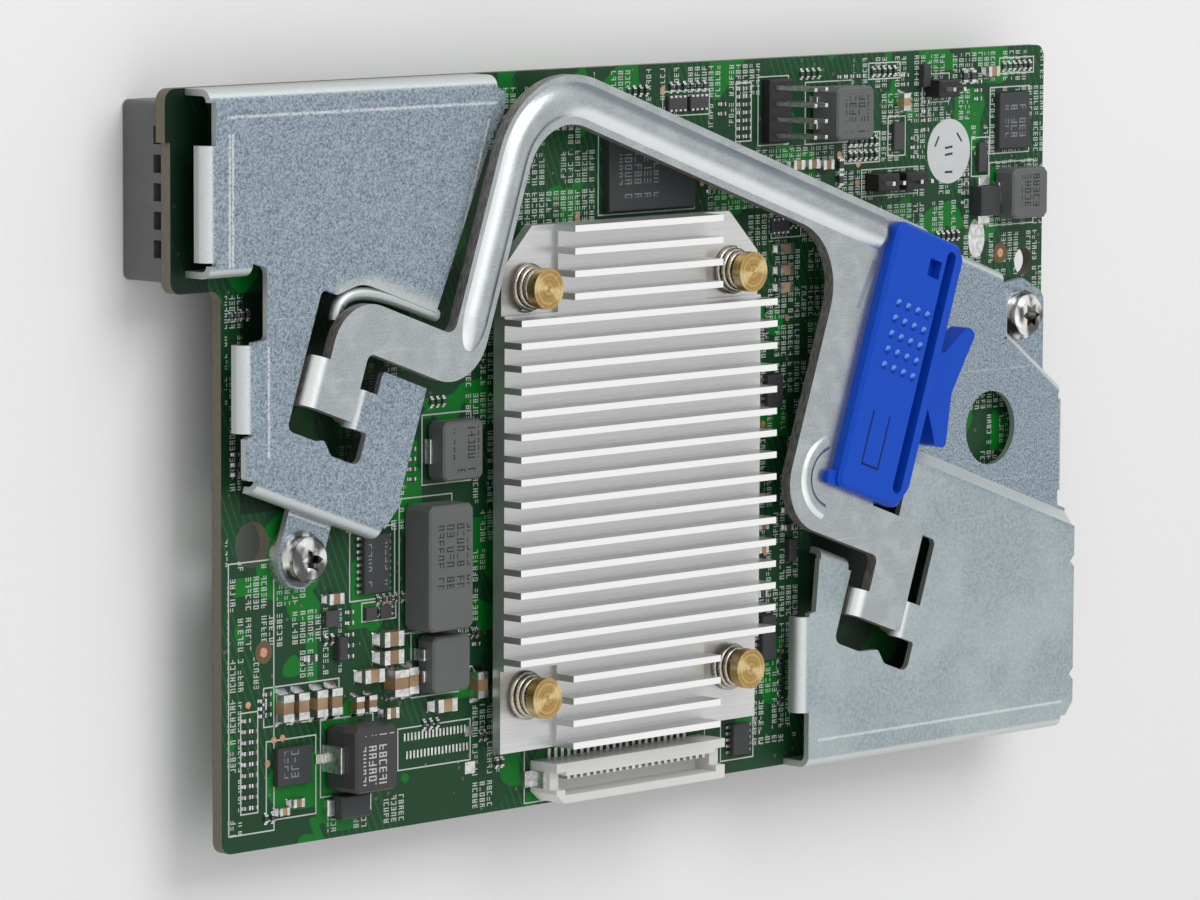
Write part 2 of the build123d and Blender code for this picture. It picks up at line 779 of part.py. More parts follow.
# Conical springs between the pocket floors and the screw heads, from short straight lengths
coil_count = spring_turns * spring_steps
coil_rise = (spring_length - spring_wire - 0.1) / coil_count
coil_shrink = (spring_base_radius - spring_top_radius) / coil_count
coil_seat = spot(*screw_spots[0], pocket_floor + spring_wire / 2 + 0.05)
with BuildPart() as screw_springs:
    for step in range(coil_count + 1):
        turned = radians(360 * step / spring_steps)
        outward = Vector(cos(turned), sin(turned), 0)
        radius = spring_base_radius - step * coil_shrink
        middle = coil_seat + outward * radius + Vector(0, 0, step * coil_rise)
        ahead = Vector(-sin(turned) * radius, cos(turned) * radius, coil_rise * spring_steps / radians(360))
        with BuildSketch(Plane(middle, x_dir=outward, z_dir=ahead)):
            RegularPolygon(spring_wire / 2, 5)
    loft(ruled=True)
    wound = screw_springs.part
    for x, y in screw_spots[1:]:
        add(Pos(x - screw_left, y - screw_low, 0) * wound)
finish(screw_springs, "screw_springs")

# Bracket screws, the spacer under the foot and the nuts behind the board
with BuildPart() as bracket_screws:
    for place, seat in ((torx_left, foot_top), (torx_right, tab_top)):
        with BuildSketch(deck(seat)):
            with Locations(place):
                Circle(torx_flange)
        extrude(amount=torx_flange_height)
        with BuildSketch(deck(seat)):
            with Locations(place):
                Circle(torx_head)
        extrude(amount=torx_head_height)
        crown = face_z + seat + torx_head_height
        chamfer(bracket_screws.edges().filter_by_position(Axis.Z, crown - 0.01, crown + 0.01), 0.5)
        with BuildSketch(deck(seat + torx_head_height)):
            with Locations(place):
                RegularPolygon(socket_radius, 3)
                RegularPolygon(socket_radius, 3, rotation=60)
                RegularPolygon(socket_lobe, 6)
        extrude(amount=-socket_depth, mode=Mode.SUBTRACT)
        with BuildSketch(deck(thread_end)):
            with Locations(place):
                RegularPolygon(torx_shank, thread_sides)
        extrude(amount=seat - thread_end)
finish(bracket_screws, "bracket_screws")

with BuildPart() as foot_spacer:
    with BuildSketch(deck(0)):
        with Locations(torx_left):
            Circle(foot_radius)
            RegularPolygon(torx_shank + shank_room, thread_sides, mode=Mode.SUBTRACT)
    extrude(amount=foot_top - sheet)
finish(foot_spacer, "foot_spacer")

with BuildPart() as screw_nuts:
    with BuildSketch(deck(back - nut_height)):
        with Locations(*screw_spots):
            RegularPolygon(nut_radius, 6)
            RegularPolygon(thread_radius + thread_room, thread_sides, mode=Mode.SUBTRACT)
        with Locations(torx_left, torx_right):
            RegularPolygon(nut_radius, 6)
            RegularPolygon(torx_shank + thread_room, thread_sides, mode=Mode.SUBTRACT)
    extrude(amount=nut_height)
finish(screw_nuts, "screw_nuts")

# Cable connector: a housing that opens upward, with its contacts and end tabs
cable_right = sink_right - cable_to_sink_edge
cable_slot = (cable_left + 1.5, cable_right - 1.6, cable_low + 1.0, cable_low + 3.4)
contact_first = cable_left + 2.9
contact_count = int((cable_right - cable_left - 5.8) / contact_pitch) + 1
with BuildPart() as cable_connector:
    with BuildSketch(deck(0)):
        add(plate(
            (cable_left + 1.4, cable_low, 0),
            (cable_right, cable_low, 0),
            (cable_right, cable_high, 0),
            (cable_left, cable_high, 0),
            (cable_left, cable_low + 1.2, 0),
        ))
    extrude(amount=cable_height)
    with BuildSketch(deck(cable_slot_floor)):
        add(plate(
            (cable_slot[0], cable_slot[2], 0),
            (cable_slot[1], cable_slot[2], 0),
            (cable_slot[1], cable_slot[3], 0),
            (cable_slot[0], cable_slot[3], 0),
        ))
    extrude(amount=cable_height, mode=Mode.SUBTRACT)
    with BuildSketch(deck(cable_height - 1.2)):
        with Locations((cable_left + 0.7, 3.4), (cable_right - 0.7, 3.4)):
            Rectangle(2.0, 2.2)
    extrude(amount=2.0, mode=Mode.SUBTRACT)
finish(cable_connector, "cable_connector")

with BuildPart() as cable_contacts:
    for i in range(contact_count):
        across = contact_first + i * contact_pitch
        with BuildSketch(deck(cable_slot_floor)):
            with Locations((across, cable_slot[3] - 0.3)):
                Rectangle(contact_width, 0.6)
        extrude(amount=2.7)
        with BuildSketch(deck(0)):
            with Locations((across, cable_high + 0.6)):
                Rectangle(contact_width, 1.2)
        extrude(amount=0.35)
finish(cable_contacts, "cable_contacts")

with BuildPart() as connector_tabs:
    for edge, side in ((cable_left, -1), (cable_right, 1)):
        with BuildSketch(deck(0)):
            with Locations((edge + side * 0.7, 3.4)):
                Rectangle(1.4, 2.0)
        extrude(amount=0.4)
        with BuildSketch(deck(0)):
            with Locations((edge + side * 0.15, 3.4)):
                Rectangle(0.3, 2.0)
        extrude(amount=2.4)
finish(connector_tabs, "connector_tabs")


def package(left, right, low, high, height, rim=0.15):
    """Moulded chip body or block on the board, chamfered around its top."""
    with BuildPart() as body:
        with BuildSketch(deck(0)):
            with Locations(((left + right) / 2, (low + high) / 2)):
                Rectangle(right - left, high - low)
        extrude(amount=height)
        if rim:
            chamfer(body.faces().sort_by(Axis.Z)[-1].edges(), rim)
    return body.part


def choke(left, right, low, high, height, foot=0.35):
    """Square power choke: a pressed body that stands on a narrower foot."""
    with BuildPart() as body:
        with BuildSketch(deck(foot)):
            with Locations(((left + right) / 2, (low + high) / 2)):
                Rectangle(right - left, high - low)
        extrude(amount=height - foot)
        chamfer(body.edges().filter_by(Axis.Z), 0.6)
        chamfer(body.faces().sort_by(Axis.Z)[-1].edges(), 0.25)
        with BuildSketch(deck(0)):
            with Locations(((left + right) / 2, (low + high) / 2)):
                Rectangle(right - left - 1.2, high - low - 1.2)
        extrude(amount=foot)
    return body.part


# Memory chip and the smaller integrated circuits
with BuildPart() as memory_chip:
    add(package(sink_right - 24.2, sink_right - 8.8, sink_high + 0.65, sink_high + 9.45, 1.2, 0.1))
finish(memory_chip, "memory_chip")

with BuildPart() as leadless_chips:
    add(package(8.2, 13.8, 7.3, 11.8, 0.9, 0.1))
    add(package(board_length - 9.7, board_length - 3.7, board_width - 13.3, board_width - 6.0, 0.9, 0.1))
finish(leadless_chips, "leadless_chips")

chip_boxes = [
    (21.6, 27.2, 28.9, 35.9, 1.0),
    (cable_right + 4.7, cable_right + 9.2, 2.4, 6.3, 1.0),
    (91.5, 95.4, 13.9, 19.6, 1.0),
    (92.2, 96.4, 46.0, 50.2, 1.0),
]
with BuildPart() as leaded_chips:
    for left, right, low, high, height in chip_boxes:
        add(package(left + lead_length, right - lead_length, low, high, height, 0.1))
finish(leaded_chips, "leaded_chips")

with BuildPart() as chip_leads:
    for left, right, low, high, height in chip_boxes:
        rows = int((high - low - 0.6) / lead_pitch)
        for row in range(rows + 1):
            y = (low + high) / 2 + (row - rows / 2) * lead_pitch
            with BuildSketch(deck(0)):
                with Locations((left + lead_length / 2, y), (right - lead_length / 2, y)):
                    Rectangle(lead_length, lead_width)
            extrude(amount=lead_width)
finish(chip_leads, "chip_leads")

# Power chokes, with the terminals that show beside them
choke_left = board_length - 45.4
with BuildPart() as power_chokes:
    add(choke(choke_left, choke_left + 7.0, board_width - 10.55, board_width - 3.8, 4.6))
    add(choke(board_length - 9.8, board_length - 2.8, board_width - 22.35, board_width - 15.8, 3.4))
    add(choke(33.5, 40.2, 41.6, 48.8, 3.0))
    add(choke(31.8, 38.1, 16.1, 23.0, 3.0))
    add(choke(29.6, 37.0, 23.9, 39.05, 4.6))
finish(power_chokes, "power_chokes")

with BuildPart() as clip_choke:
    add(choke(16.7, 23.6, 5.9, 13.7, 5.3))
finish(clip_choke, "clip_choke")

choke_tabs = [
    (choke_left - 0.6, choke_left, board_width - 9.2, board_width - 8.0, 1.6),
    (choke_left - 0.6, choke_left, board_width - 6.2, board_width - 5.0, 1.6),
    (board_length - 10.3, board_length - 9.8, board_width - 20.6, board_width - 17.6, 1.4),
    (33.0, 33.5, 43.7, 46.7, 1.2),
    (31.2, 31.8, 17.5, 18.9, 2.0), (31.2, 31.8, 20.1, 21.5, 2.0),
    (16.1, 16.7, 8.2, 11.4, 3.4), (14.9, 16.1, 9.2, 10.4, 0.4),
]
with BuildPart() as choke_terminals:
    for left, right, low, high, height in choke_tabs:
        add(package(left, right, low, high, height, 0.08))
finish(choke_terminals, "choke_terminals")

# Diodes and transistors
with BuildPart() as diodes:
    add(package(17.6, 22.4, 2.4, 5.2, 2.0, 0.2))
    add(package(board_length - 14.4, board_length - 10.6, board_width - 21.8, board_width - 18.0, 2.0, 0.2))
finish(diodes, "diodes")

with BuildPart() as diode_terminals:
    for box in (
        (16.4, 17.6, 2.8, 4.8), (22.4, 23.6, 2.8, 4.8),
        (board_length - 13.6, board_length - 11.4, board_width - 23.0, board_width - 21.8),
        (board_length - 13.6, board_length - 11.4, board_width - 18.0, board_width - 16.8),
    ):
        add(package(*box, 0.8, 0.1))
finish(diode_terminals, "diode_terminals")

transistor_spots = [(18.9, 22.7), (board_length - 24.1, board_width - 3.2), (97.9, 27.6)]
with BuildPart() as transistors:
    for x, y in transistor_spots:
        add(package(x - 0.7, x + 0.7, y - 1.45, y + 1.45, 1.0))
finish(transistors, "transistors")

# Ceramic capacitors: places, lengths, widths and heights, first those along Y
capacitors_up = [
    (9.4, 16.6, 3.2, 1.7, 1.5), (11.9, 16.6, 3.2, 1.7, 1.5), (14.9, 16.6, 3.2, 1.7, 1.5),
    (17.3, 16.6, 3.2, 1.7, 1.5), (21.4, 15.7, 2.0, 1.3, 1.2), (23.5, 15.7, 2.0, 1.3, 1.2),
    (27.5, 17.8, 3.2, 2.3, 2.0), (30.1, 17.8, 3.2, 1.6, 1.4), (41.7, 16.1, 3.2, 1.7, 1.5),
    (board_length - 28.3, board_width - 6.4, 2.2, 1.3, 1.2),
]
capacitors_along = [
    (26.6, 23.2, 3.2, 1.8, 1.6), (26.6, 21.0, 3.2, 1.7, 1.6), (23.6, 19.0, 3.2, 1.6, 1.4),
    (26.8, 14.2, 2.0, 1.3, 1.2), (35.8, 14.2, 3.2, 1.6, 1.4), (17.7, 28.8, 2.4, 1.3, 1.0),
    (11.6, 5.0, 1.8, 1.0, 0.9), (9.4, 4.2, 1.6, 0.9, 0.8), (98.4, board_width - 13.6, 2.0, 1.2, 1.0),
    (101.2, board_width - 13.6, 2.0, 1.2, 1.0), (104.0, board_width - 13.8, 2.0, 1.2, 1.0),
    (board_length - 11.0, board_width - 3.1, 2.2, 1.3, 1.0),
    (96.2, 66.1, 2.4, 1.3, 1.1), (96.2, 63.4, 2.4, 1.3, 1.1), (96.2, 61.2, 2.4, 1.3, 1.1),
    (92.4, 31.2, 1.8, 1.0, 0.9), (92.4, 28.2, 1.8, 1.0, 0.9),
]


def capacitor_pieces(ends):
    """Blocks for every capacitor: the two end caps, or the body between them."""
    blocks = []
    for across, group in ((False, capacitors_up), (True, capacitors_along)):
        for x, y, length, width, height in group:
            cap = length * capacitor_end
            if ends:
                spans = [(-length / 2, cap - length / 2), (length / 2 - cap, length / 2)]
                half = width / 2
            else:
                spans = [(cap - length / 2, length / 2 - cap)]
                half = width / 2 - 0.04
                height = height - 0.04
            for start, end in spans:
                if across:
                    blocks.append(package(x + start, x + end, y - half, y + half, height, 0))
                else:
                    blocks.append(package(x - half, x + half, y + start, y + end, height, 0))
    return blocks


with BuildPart() as capacitor_bodies:
    add(capacitor_pieces(False))
finish(capacitor_bodies, "capacitor_bodies")

with BuildPart() as capacitor_ends:
    add(capacitor_pieces(True))
finish(capacitor_ends, "capacitor_ends")

# Tall two-row pin header and the two small jumper headers
header_low = board_width - 9.6
header_middle = ((header_x[0] + header_x[1]) / 2, header_low + header_pitch * (header_rows - 1) / 2)
jumpers = [
    (board_length - 23.4, board_width - 6.0),
    (board_length - 35.0, board_width - 17.6),
    (board_length - 29.6, board_width - 17.6),
]
jumper_pins = [
    (left + side * jumper_length, low + jumper_width / 2) for left, low in jumpers for side in (0.25, 0.75)
]
with BuildPart() as pin_headers:
    add(package(header_x[0] - 1.1, header_x[1] + 1.1, header_low - 1.0, header_low + 7.0, header_base, 0.2))
    for left, low in jumpers:
        add(package(left, left + jumper_length, low, low + jumper_width, jumper_height, 0.2))
finish(pin_headers, "pin_headers")

with BuildPart() as header_pins:
    with BuildSketch(deck(header_base)):
        with Locations(header_middle):
            with GridLocations(header_x[1] - header_x[0], header_pitch, 2, header_rows):
                Rectangle(pin_width, pin_width)
    extrude(amount=pin_height - header_base)
    chamfer(header_pins.faces().sort_by(Axis.Z)[-8:].edges(), 0.12)
    with BuildSketch(deck(jumper_height)):
        with Locations(*jumper_pins):
            Rectangle(pin_width, pin_width)
    extrude(amount=1.6)
finish(header_pins, "header_pins")

# Resistor arrays and bridges
resistor_boxes = [
    (header_x[0] - 18.6, header_x[0] - 15.3, board_width - 5.8, board_width - 4.2),
    (header_x[0] - 14.7, header_x[0] - 11.4, board_width - 5.8, board_width - 4.2),
    (board_length - 30.0, board_length - 28.1, board_width - 12.6, board_width - 9.0),
    (board_length - 13.3, board_length - 11.7, board_width - 16.2, board_width - 12.3),
    (23.0, 24.8, 25.6, 27.2), (25.4, 27.2, 25.6, 27.2), (94.0, 97.2, 68.2, 70.0), (16.4, 18.6, 25.4, 27.4),
]
with BuildPart() as chip_resistors:
    for box in resistor_boxes:
        add(package(*box, 0.55, 0.08))
finish(chip_resistors, "chip_resistors")
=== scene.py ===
import math

import bpy
from bpy.props import FloatProperty, FloatVectorProperty, PointerProperty
from mathutils import Matrix, Vector


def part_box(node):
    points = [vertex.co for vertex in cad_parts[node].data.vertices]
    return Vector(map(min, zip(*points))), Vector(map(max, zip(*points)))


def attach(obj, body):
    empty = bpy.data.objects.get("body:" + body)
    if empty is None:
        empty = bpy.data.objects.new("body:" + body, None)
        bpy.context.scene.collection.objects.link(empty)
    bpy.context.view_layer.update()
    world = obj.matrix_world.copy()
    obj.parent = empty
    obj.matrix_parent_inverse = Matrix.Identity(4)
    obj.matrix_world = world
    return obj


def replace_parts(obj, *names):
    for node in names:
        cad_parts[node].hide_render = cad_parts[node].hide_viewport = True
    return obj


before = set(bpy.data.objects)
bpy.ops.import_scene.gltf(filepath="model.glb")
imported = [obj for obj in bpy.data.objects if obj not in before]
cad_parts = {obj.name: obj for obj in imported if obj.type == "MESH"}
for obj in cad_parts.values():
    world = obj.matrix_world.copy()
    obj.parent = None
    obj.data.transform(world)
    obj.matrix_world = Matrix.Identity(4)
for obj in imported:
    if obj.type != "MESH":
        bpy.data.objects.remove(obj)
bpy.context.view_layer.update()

bl_info = {
    "name": "Adapter Card Dressing",
    "version": (1, 0, 0),
    "blender": (4, 5, 0),
    "location": "3D View > Sidebar > Adapter Card",
    "description": "Finishes, board details and studio stage for a mezzanine adapter card",
    "category": "Object",
}

MM = 0.001
BOARD_LOW, BOARD_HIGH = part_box("circuit_board")
BOARD_LENGTH = 147.0
CORNER = Vector((BOARD_HIGH.x / MM - BOARD_LENGTH, BOARD_LOW.y / MM, BOARD_HIGH.z / MM))
LEVER_TILT = math.radians(-19.4)
PIVOT = Vector((11.75, 53.85))
LEVER_TOP = 6.2
DOT_BASE = LEVER_TOP + 1.69
PLATE_TOP = LEVER_TOP - 1.8
SCREW_LOW = Vector((46.65, 14.55))
SCREW_HIGH = Vector((82.9, 64.35))
SPRING_FLOOR = 3.6
FOOT = Vector((11.01, 34.28))
FOOT_SEAT = 5.6
LABEL = Vector((128.1, 77.0))
UP = math.pi / 2


def place(x, y, z=0.0):
    """Point in metres for board coordinates in millimetres: X and Y from the corner, Z from the face."""
    return Vector(((CORNER.x + x) * MM, (CORNER.y + y) * MM, (CORNER.z + z) * MM))


def lever_spot(along, across):
    """Board coordinates of a place given along and across the lever's hinge."""
    return (
        PIVOT.x + along * math.cos(LEVER_TILT) - across * math.sin(LEVER_TILT),
        PIVOT.y + along * math.sin(LEVER_TILT) + across * math.cos(LEVER_TILT),
    )


class Value:
    """A number or colour in a material; arithmetic on it adds Math nodes."""

    def __init__(self, paint, socket):
        self.paint = paint
        self.socket = socket

    def work(self, operation, *terms):
        return self.paint.node("ShaderNodeMath", {"operation": operation}, dict(enumerate(terms)))

    def __add__(self, other):
        return self.work("ADD", self, other)

    def __sub__(self, other):
        return self.work("SUBTRACT", self, other)

    def __rsub__(self, other):
        return self.work("SUBTRACT", other, self)

    def __mul__(self, other):
        return self.work("MULTIPLY", self, other)

    def __truediv__(self, other):
        return self.work("DIVIDE", self, other)

    def __mod__(self, other):
        return self.work("FLOORED_MODULO", self, other)

    def __gt__(self, other):
        return self.work("GREATER_THAN", self, other)

    def __lt__(self, other):
        return self.work("LESS_THAN", self, other)

    def root(self):
        return self.work("SQRT", self)

    def __abs__(self):
        return self.work("ABSOLUTE", self)

    def __or__(self, other):
        return self.work("MAXIMUM", self, other)

    __radd__ = __add__
    __rmul__ = __mul__

    def within(self, low, high):
        """1 where the number lies between low and high."""
        return (self > low) * (self < high)

    def ease(self, low, high):
        """0 below low, 1 above high and a smooth rise between."""
        settings = {"interpolation_type": "SMOOTHSTEP"}
        return self.paint.node("ShaderNodeMapRange", settings, {0: self, 1: low, 2: high})

    def band(self, middle, half):
        """1 near a middle value, within half of it."""
        return abs(self - middle) < half


class Paint:
    """A material under construction: its nodes, and the shader that they feed."""

    def __init__(self, name, color, metallic=0.0, roughness=0.5, **sockets):
        self.material = bpy.data.materials.new(f"{name} finish")
        self.material.use_nodes = True
        self.material.diffuse_color = (*color, 1.0)
        self.tree = self.material.node_tree
        self.shader = self.tree.nodes["Principled BSDF"]
        self.feed({"Base Color": (*color, 1.0), "Metallic": metallic, "Roughness": roughness, **sockets})

    def feed(self, sockets):
        """Set the shader's sockets to numbers, colours or worked values."""
        self.fill(self.shader, sockets)

    def fill(self, made, sockets):
        for key, value in sockets.items():
            target = made.inputs[key]
            if isinstance(value, Value):
                self.tree.links.new(value.socket, target)
            else:
                target.default_value = value

    def node(self, kind, settings, sockets, out=0):
        """Add a node: its settings first, then the values or links of its sockets."""
        made = self.tree.nodes.new(kind)
        for key, value in settings.items():
            setattr(made, key, value)
        self.fill(made, sockets)
        return Value(self, made.outputs[out])

    def mix(self, factor, first, second):
        """Colour between two colours."""
        sockets = {0: factor, 6: self.color(first), 7: self.color(second)}
        return self.node("ShaderNodeMix", {"data_type": "RGBA"}, sockets, 2)

    def color(self, color):
        return color if isinstance(color, Value) else (*color, 1.0)

    def board(self, turn=0.0, stretch=(1.0, 1.0, 1.0)):
        """Place on the card in board millimetres, turned and stretched for a pattern."""
        settings = {"vector_type": "POINT"}
        where = self.node("ShaderNodeTexCoord", {}, {}, 3)
        shifted = {0: where, 1: tuple(-CORNER), 3: (1 / MM, 1 / MM, 1 / MM)}
        flat = self.node("ShaderNodeMapping", settings, shifted)
        if turn == 0.0 and stretch == (1.0, 1.0, 1.0):
            return flat
        return self.node("ShaderNodeMapping", settings, {0: flat, 2: (0, 0, turn), 3: stretch})

    def split(self, vector):
        made = self.tree.nodes.new("ShaderNodeSeparateXYZ")
        self.tree.links.new(vector.socket, made.inputs[0])
        return [Value(self, out) for out in made.outputs]

    def noise(self, where, scale, detail=2.0, roughness=0.5):
        sockets = {"Vector": where, "Scale": scale, "Detail": detail, "Roughness": roughness}
        return self.node("ShaderNodeTexNoise", {}, sockets)

    def cells(self, where, scale, out=0, randomness=1.0, metric="EUCLIDEAN"):
        sockets = {"Vector": where, "Scale": scale, "Randomness": randomness}
        return self.node("ShaderNodeTexVoronoi", {"distance": metric}, sockets, out)

    def hash(self, x, y, z=0.0):
        """Random number from 0 to 1, one for each whole-numbered place."""
        where = self.node("ShaderNodeCombineXYZ", {}, {0: x, 1: y, 2: z})
        return self.node("ShaderNodeTexWhiteNoise", {"noise_dimensions": "3D"}, {"Vector": where})

    def glyphs(self, x, y, pitch=1.25, advance=0.68, tall=0.86, wide=0.46, line=0.14):
        """Ink of unreadable marks in lanes along Y: in each cell, a random set of straight strokes."""
        lane, row = x / pitch, y / advance
        up, over = lane % 1.0 * pitch - 0.1, row % 1.0 * advance - 0.08
        lane, row = lane - lane % 1.0, row - row % 1.0
        word = row / 7.0
        used = (self.hash(lane, word - word % 1.0, 0.5) > 0.3) * (row % 7.0 < 5.5)
        ink = 0.0
        for place_in_cell, (across, middle) in enumerate((
            (up, line / 2), (up, tall / 2), (up, tall - line / 2), (over, line / 2), (over, wide - line / 2),
        )):
            drawn = self.hash(lane, row, 3.5 + place_in_cell) > 0.38
            ink = across.band(middle, line / 2) * drawn | ink
        return ink * used * up.within(0.0, tall) * over.within(0.0, wide)

    def lever_place(self, x, y):
        """Distances along and across the lever's hinge, from board coordinates."""
        turn_cos, turn_sin = math.cos(LEVER_TILT), math.sin(LEVER_TILT)
        along = (x - PIVOT.x) * turn_cos + (y - PIVOT.y) * turn_sin
        return along, (y - PIVOT.y) * turn_cos - (x - PIVOT.x) * turn_sin

    def slant(self, x, y, angle):
        """Distance from the board's corner, measured in a direction at an angle."""
        return x * math.cos(angle) + y * math.sin(angle)

    def facing(self):
        """Parts of the surface's own normal along X, Y and Z, each from -1 to 1."""
        return self.split(self.node("ShaderNodeTexCoord", {}, {}, 1))

    def facing_up(self):
        """How far the surface faces up, from -1 to 1."""
        return self.facing()[2]

    def bump(self, height, distance, strength=1.0):
        """Surface relief: height from 0 to 1 over a distance in millimetres."""
        sockets = {"Strength": strength, "Distance": distance * MM, "Height": height}
        self.feed({"Normal": self.node("ShaderNodeBump", {}, sockets)})


# Rectangles of the board, as (left, right, low, high)
LEGEND_AREAS = [
    (0.9, 3.2, 2.0, 20.0), (0.9, 8.4, 19.2, 34.0), (8.4, 19.4, 19.6, 31.6), (0.6, 3.4, 34.0, 66.0),
    (19.0, 30.0, 36.0, 60.0), (17.0, 30.0, 0.6, 4.6), (41.0, 50.0, 30.0, 60.0), (38.6, 42.4, 22.0, 60.0),
    (41.0, 46.0, 0.8, 14.0), (44.0, 62.4, 71.0, 88.4), (80.4, 91.0, 66.0, 80.0), (88.6, 100.0, 3.0, 79.0),
    (97.4, 122.0, 63.0, 79.0), (109.6, 147.0, 75.0, 90.0), (122.0, 147.0, 62.0, 75.0),
    (100.0, 147.0, 30.0, 62.0), (62.0, 92.0, 82.0, 90.0),
]
# Rectangles under the brackets' openings, as (left, right, low, high), where shade is painted into the mask
SHADED_AREAS = [(3.0, 27.0, 40.0, 66.0), (102.0, 128.0, 10.0, 42.0)]
CHIP_PRINT = [
    (65.4, 72.4, 74.0, 79.4), (138.4, 142.4, 78.2, 82.8), (9.2, 13.0, 7.9, 11.4), (22.9, 26.0, 29.6, 35.2),
]
CHOKE_PRINT = [
    (103.1, 107.5, 80.6, 85.6), (138.9, 143.2, 68.8, 73.6), (31.0, 36.3, 29.0, 37.6),
    (35.0, 39.4, 42.6, 48.0),
]
CLIP_PRINT = [(17.9, 23.0, 6.8, 12.8)]


def patches(x, y, areas):
    """1 inside any of the rectangles."""
    inside = 0.0
    for left, right, low, high in areas:
        inside = x.within(left, right) * y.within(low, high) | inside
    return inside


def scaled(color, factor, lift=0.0):
    """A colour made lighter or darker, and kept below white."""
    return tuple(min(1.0, c * factor + lift) for c in color)


def laminate():
    look = bpy.context.scene.card_board
    paint = Paint("laminate", look.mask_dark, roughness=0.42, **{"Specular IOR Level": 0.18})
    where = paint.board()
    x, y, z = paint.split(where)
    square = paint.split(paint.cells(where, 0.16, out=1, metric="CHEBYCHEV"))[0] > 0.86
    pour = square | paint.noise(where, 0.11, 1.5).ease(0.60, 0.61)
    cloud = paint.noise(where, 0.6, 3.0)
    green = paint.mix(cloud * 0.5, look.mask_dark, look.mask_deep)
    green = paint.mix(pour * (x > 1.0), green, look.mask_bright)
    seat_x, seat_y = x - FOOT.x, y - FOOT.y
    seat = (seat_x * seat_x + seat_y * seat_y).root() < FOOT_SEAT
    green = paint.mix(seat, green, look.mask_bright)
    lines = abs((x * 0.8 + y * 0.35) % 0.9 - 0.45) < 0.12
    lanes = lines * (paint.noise(where, 0.07, 0.0) > 0.5)
    green = paint.mix(lanes * 0.5, green, (0.012, 0.15, 0.04))
    # Vias: a dark rim and a copper-red middle
    hole = paint.cells(where, 0.62, randomness=0.95)
    drilled = paint.noise(where, 0.12, 1.0) > 0.45
    green = paint.mix((hole < 0.13) * drilled, green, (0.22, 0.20, 0.17))
    green = paint.mix((hole < 0.09) * drilled, green, (0.10, 0.012, 0.008))
    printed = patches(x, y, LEGEND_AREAS) * paint.facing_up().ease(0.5, 0.8)
    legend = paint.glyphs(x, y) * printed
    green = paint.mix(legend, green, look.legend)
    # Painted shade: the board under the brackets' openings and left of its corner is darkened almost to
    # black
    painted_shade = patches(x, y, SHADED_AREAS) | (x < -2.0)
    green = paint.mix(painted_shade * 0.75, green, (0.002, 0.006, 0.003))
    edge = z.within(-1.57, -0.03)
    fibre = paint.noise(paint.board(stretch=(0.5, 0.5, 6.0)), 1.6, 3.0)
    core = paint.mix(fibre, (0.10, 0.09, 0.065), (0.24, 0.22, 0.17))
    paint.feed({"Base Color": paint.mix(edge, green, core), "Roughness": edge * 0.35 + legend * 0.2 + 0.4})
    paint.bump(pour * 0.5 + lanes * 0.4 + legend * 0.8 + fibre * edge, 0.03, 0.5)
    return paint.material


# Pressed lines, each lightened as a painted highlight: direction of the distance, the distance, and the
# spans of X and Y
CREASES = [
    (math.radians(90), 86.9, (-3.0, 41.0), (80.0, 90.0)),
    (math.radians(0), -2.6, (-4.0, 0.0), (69.5, 85.0)),
    (math.radians(0), -2.1, (-4.0, 0.0), (69.5, 85.0)),
    (math.radians(-18.5), 10.6, (26.0, 40.0), (62.0, 85.0)),
    (math.radians(0), 3.5, (2.0, 5.0), (47.0, 60.0)),
    (math.radians(70.6), 40.6, (4.0, 17.0), (30.0, 46.0)),
    (math.radians(90), 3.4, (99.0, 147.0), (2.0, 5.0)),
]


